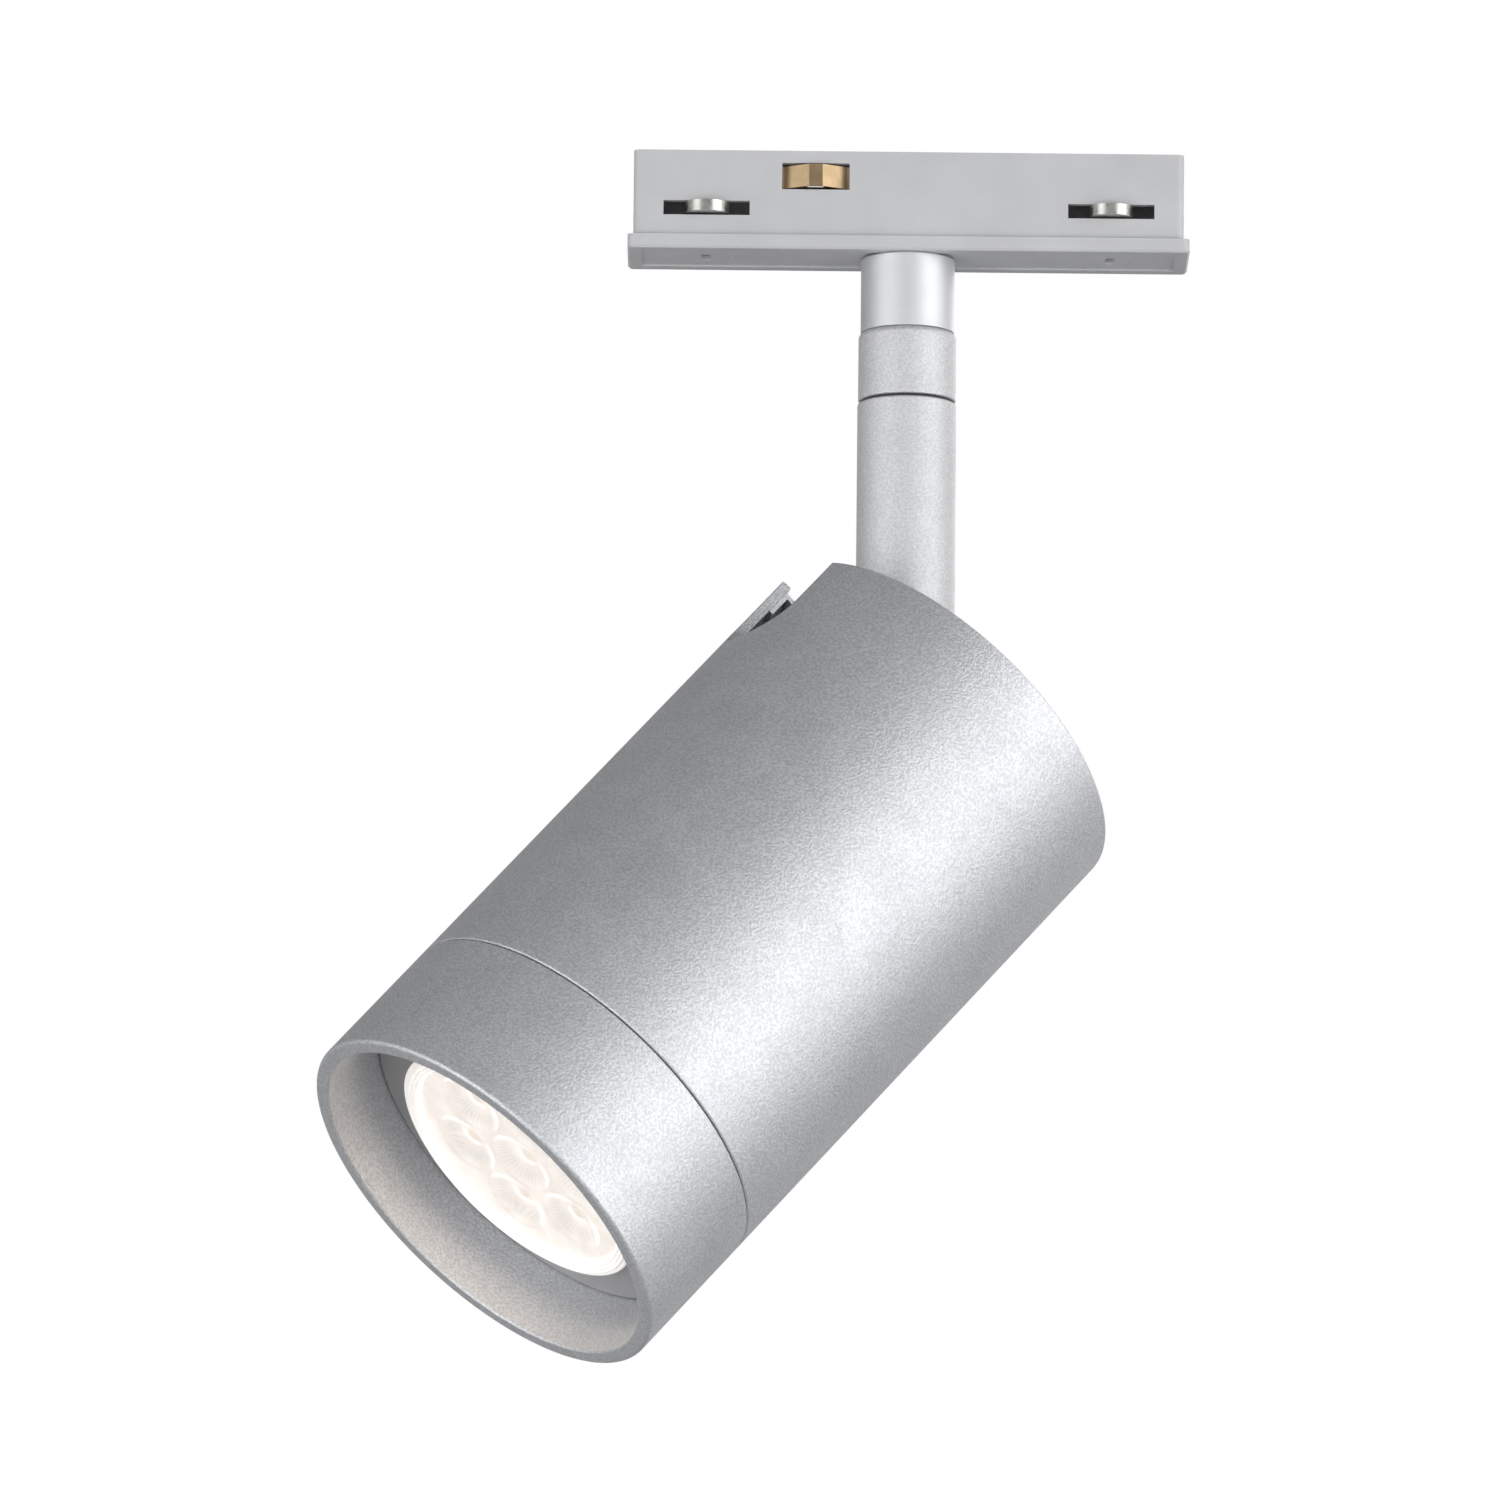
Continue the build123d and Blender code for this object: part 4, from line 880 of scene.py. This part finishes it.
@dataclass
class Lamp:
    """The lit reflector lamp: clear cover, ribbed rim and body, and the plate of seven optics."""

    bench: Bench
    face: float = -109.0
    lens_radius: float = 22.4
    lens_thickness: float = 1.6
    rim_radius: float = 25.5
    rim_height: float = 4.6
    back_radius: float = 15.0
    base: float = -74.0
    wall: float = 1.2
    rib: float = 0.35
    optic_radius: float = 6.3
    optic_orbit: float = 13.6
    optic_depth: float = 2.4
    led_radius: float = 1.7
    plate: float = 5.0

    def cover(self) -> bpy.types.Object:
        """Build the clear cover: a thin disc, slightly domed, with a rounded edge."""
        share = np.linspace(0, 1, 24)[:, None]
        front = np.hstack([(self.lens_radius - 0.3) * share, self.face + 0.2 * share ** 2])
        back = np.hstack([self.lens_radius * share, self.face + 1.2 + 0 * share])[::-1]
        return lathe("lamp_cover_visual", np.concatenate([front, back]), self.bench)

    def body(self) -> bpy.types.Object:
        """Build the rim, whose front has three low ribs, and the tapering body behind it."""
        front = self.face + 0.5
        back = front + self.rim_height
        ribs = np.linspace(self.lens_radius + 0.1, self.rim_radius - 0.7, 25)
        phase = (ribs - ribs[0]) / (ribs[-1] - ribs[0])
        ribbed = np.stack([ribs, front - self.rib * (0.5 - 0.5 * np.cos(6 * math.pi * phase))], 1)
        edge = rounded(
            [(self.rim_radius - 0.6, front), (self.rim_radius, front), (self.rim_radius, back),
             (self.back_radius, self.base), (self.back_radius - self.wall, self.base),
             (self.rim_radius - 2, back), (self.rim_radius - 2, front + 1.1),
             (self.lens_radius, front + 1.1)],
            [0, 0.5, 1.0, 0.3, 0.3, 0.5, 0.3, 0])
        return lathe("lamp_body_visual", np.concatenate([ribbed, edge]), self.bench)

    def optics(self) -> bpy.types.Object:
        """Build the plate of optics.

        The front is a polar grid. Each optic is a cup: at distance d from its centre the surface
        drops by depth times one minus (d / radius) squared, and a low dome stands in its middle
        over the light source. A mesh attribute holds how near each point is to a source, and
        another the fine ribs that run down each cup, which the material paints as grey shade;
        the ribs themselves are not modelled.

        Returns:
            The plate.
        """
        turn = np.linspace(0, 2 * math.pi, 240, endpoint=False)
        radius = np.linspace(0.02, self.lens_radius - 0.15, 110)
        r, t = np.meshgrid(radius, turn, indexing="ij")
        x, y = r * np.cos(t), r * np.sin(t)
        around = np.arange(6) * math.pi / 3
        orbit = self.optic_orbit * np.stack([np.cos(around), np.sin(around)], 1)
        centres = np.concatenate([[[0, 0]], orbit])
        away = np.stack([x, y], -1)[..., None, :] - centres
        distance = np.linalg.norm(away, axis=-1)
        nearest = distance.argmin(-1)
        near = np.take_along_axis(distance, nearest[..., None], -1)[..., 0]
        offset = np.take_along_axis(away, nearest[..., None, None], -2)[..., 0, :]
        angle = np.arctan2(offset[..., 1], offset[..., 0])
        cup = self.optic_depth * np.clip(1 - (near / self.optic_radius) ** 2, 0, 1) ** 0.8
        dome = 0.9 * np.exp(-(near / self.led_radius) ** 2)
        front = self.face + self.lens_thickness + cup - dome
        source = np.exp(-(near / self.led_radius) ** 4)
        # Painted shade of the fine ribs: a grey band round each cup, the ribs themselves not modelled.
        side = np.exp(-((near - 0.72 * self.optic_radius) / 1.1) ** 2)
        ribs = side * (0.55 + 0.45 * np.cos(40 * angle))
        back = np.full((1, len(turn)), self.face + self.plate)
        edge = np.stack([x[-1:], y[-1:], back], -1)
        middle = np.stack([x[:1], y[:1], back], -1)
        grid = np.concatenate([np.stack([x, y, front], -1), edge, middle])
        rows, columns = grid.shape[:2]
        faces = grid_faces(rows, columns, False, True)
        cap = np.array([0, 1])[:, None] * (rows - 1) * columns
        first = np.arange(1, columns - 1)
        fans = np.stack([cap + 0 * first, cap + first, cap + first + 1, cap + first + 1], -1)
        fans[0] = fans[0][:, ::-1]
        faces = np.concatenate([faces, fans.reshape(-1, 4)])
        piece = add_mesh("lamp_optics_visual", self.bench.place(grid.reshape(-1, 3)), faces)
        for name, values in (("source", source), ("ribs", ribs)):
            held_values = np.concatenate([values.ravel(), np.zeros(2 * columns)])
            attribute = piece.data.attributes.new(name, "FLOAT", "POINT")
            attribute.data.foreach_set("value", held_values.astype(np.float32))
        return piece

    def build(self) -> None:
        """Build and dress the lamp's pieces."""
        dress(self.cover(), COVER, "lamp", ["lamp_lens"])
        dress(self.body(), LIT_RIM, "lamp", ["lamp_body"])
        dress(self.optics(), LIT_OPTIC, "lamp", ["lamp_optics"])


CARRIED_OVER = {
    ADAPTER_GREY: ["adapter_base", "adapter_housing", "lock_knob_left", "lock_knob_right"],
    ZINC: ["lock_tongue_left", "lock_tongue_right", "stem_nut", "swivel_stud", "stop_pin", "stop_washer",
           "spring_washer", "swivel_nut", "tilt_knuckle", "knuckle_pin", "pivot_bracket", "pivot_bolt",
           "pivot_nut", "bracket_screws", "holder_screws", "ring_springs", "terminal_screws"],
    NYLON: ["swivel_washer", "tilt_washers"],
    BRONZE: ["line_contact", "neutral_contact", "earth_contact"],
    TERMINAL: ["terminal_block"],
    LEAD: ["supply_leads", "stem_leads", "head_leads"],
    CERAMIC: ["lamp_holder"],
    WHITE: ["lamp_base", "lamp_board"],
    HEATSINK: ["lamp_heatsink"],
    NICKEL: ["lamp_pins"],
    PHOSPHOR: ["lamp_leds"],
    COATED: ["rear_cap"],
    ANODISED: ["tube_plug"],
}


# --------------------------------------------------------------------------- studio
@dataclass(frozen=True)
class Softbox:
    """A soft area light aimed at the object.

    Args:
        name: the light's name.
        towards: direction from the object to the light.
        distance: how far away, in metres.
        size: side of the square light, in metres.
        power: watts.
        colour: the light's colour.
    """

    name: str
    towards: tuple[float, float, float]
    distance: float
    size: float
    power: float
    colour: Colour = (1.0, 1.0, 1.0)

    def build(self, target: np.ndarray) -> None:
        """Add the light, aimed at the target."""
        light = bpy.data.lights.new(self.name, "AREA")
        light.shape = "DISK"
        light.size = self.size
        light.energy = self.power
        light.color = self.colour
        lamp = bpy.data.objects.new(self.name, light)
        direction = np.array(self.towards) / np.linalg.norm(self.towards)
        lamp.location = target + direction * self.distance
        lamp.rotation_mode = "QUATERNION"
        lamp.rotation_quaternion = Vector(direction).to_track_quat("Z", "Y")
        lamp.visible_camera = False
        bpy.context.scene.collection.objects.link(lamp)


@dataclass
class Studio:
    """Floor, world, softboxes and camera."""

    pivot: np.ndarray
    floor_drop: float = 3.0
    floor_half: float = 120.0
    camera_from_pivot: tuple[float, float, float] = (-0.0273, -2.2497, -0.4162)
    camera_pitch: float = 10.52
    camera_roll: float = 0.58
    lens: float = 310.0
    sensor: float = 36.0
    ambient_low: float = 0.52
    ambient_high: float = 0.22

    def floor(self) -> None:
        """Add the plain pale floor, far below so that the object can be seen from underneath."""
        half = self.floor_half
        corners = np.array([(-half, -half), (half, -half), (half, half), (-half, half)])
        points = np.hstack([corners, np.full((4, 1), -self.floor_drop)])
        mesh = bpy.data.meshes.new("floor")
        mesh.from_pydata(points.tolist(), [], [(0, 1, 2, 3)])
        floor = bpy.data.objects.new("floor", mesh)
        bpy.context.scene.collection.objects.link(floor)
        paint = Backdrop("pale_floor", "floor", (0.86, 0.86, 0.86), roughness=0.8, drift=0.02,
                         patch_mm=400.0)
        mesh.materials.append(paint.build())

    def world(self) -> None:
        """Light the scene more from below than from above, with a white background."""
        world = bpy.data.worlds.new("studio")
        world.use_nodes = True
        bpy.context.scene.world = world
        graph = Graph(world.node_tree)
        direction = graph.add("TexCoord").outputs["Generated"]
        height = graph.add("SeparateXYZ", Vector=direction).outputs["Z"]
        spread = graph.add("MapRange", Value=height, From_Min=-0.6, From_Max=0.6,
                           To_Min=self.ambient_low, To_Max=self.ambient_high)
        ambient = spread.outputs["Result"]
        seen = graph.add("LightPath").outputs["Is Camera Ray"]
        rest = graph.maths("SUBTRACT", 1.0, ambient)
        strength = graph.maths("MULTIPLY_ADD", seen, rest, ambient)
        background = world.node_tree.nodes["Background"]
        background.inputs["Color"].default_value = (1.0, 1.0, 1.0, 1.0)
        graph.feed(background.inputs["Strength"], strength)

    def camera(self) -> None:
        """Add the camera, a little below the object and looking up at it."""
        data = bpy.data.cameras.new("camera")
        data.sensor_width = self.sensor
        data.lens = self.lens
        data.clip_start, data.clip_end = 0.05, 400.0
        camera = bpy.data.objects.new("camera", data)
        camera.location = self.pivot + np.array(self.camera_from_pivot)
        camera.rotation_mode = "XYZ"
        level = math.radians(90 + self.camera_pitch)
        tilt = Matrix.Rotation(level, 4, "X")
        roll = Matrix.Rotation(math.radians(self.camera_roll), 4, "Z")
        camera.rotation_euler = (tilt @ roll).to_euler()
        bpy.context.scene.collection.objects.link(camera)
        bpy.context.scene.camera = camera

    def build(self) -> None:
        """Build the studio."""
        self.floor()
        self.world()
        self.camera()
        bpy.context.scene.view_settings.view_transform = "Standard"
        middle = self.pivot + np.array([-0.03, 0.0, -0.02])
        for box in (
            Softbox("right", (0.86, -0.53, 0.0), 1.6, 1.9, 23.0),
            Softbox("left", (-0.78, -0.62, -0.12), 1.6, 1.7, 17.0),
            Softbox("front", (-0.05, -1.0, -0.25), 2.4, 1.2, 9.5),
            Softbox("back", (0.6, 0.9, 0.3), 1.8, 1.2, 8.0),
        ):
            box.build(middle)


def main() -> None:
    """Build the spotlight's visible pieces, dress the carried-over nodes and set the studio."""
    logging.basicConfig(level=logging.INFO, format="%(name)s: %(message)s")
    stem, head = stem_bench(), head_bench()
    Stem(stem).build()
    Head(head).build()
    Lamp(head).build()
    for finish, nodes in CARRIED_OVER.items():
        for node in nodes:
            dress(frame["nodes"][node], finish)
    Studio(head.origin).build()
    bpy.context.view_layer.update()


if __name__ == "__main__":
    main()
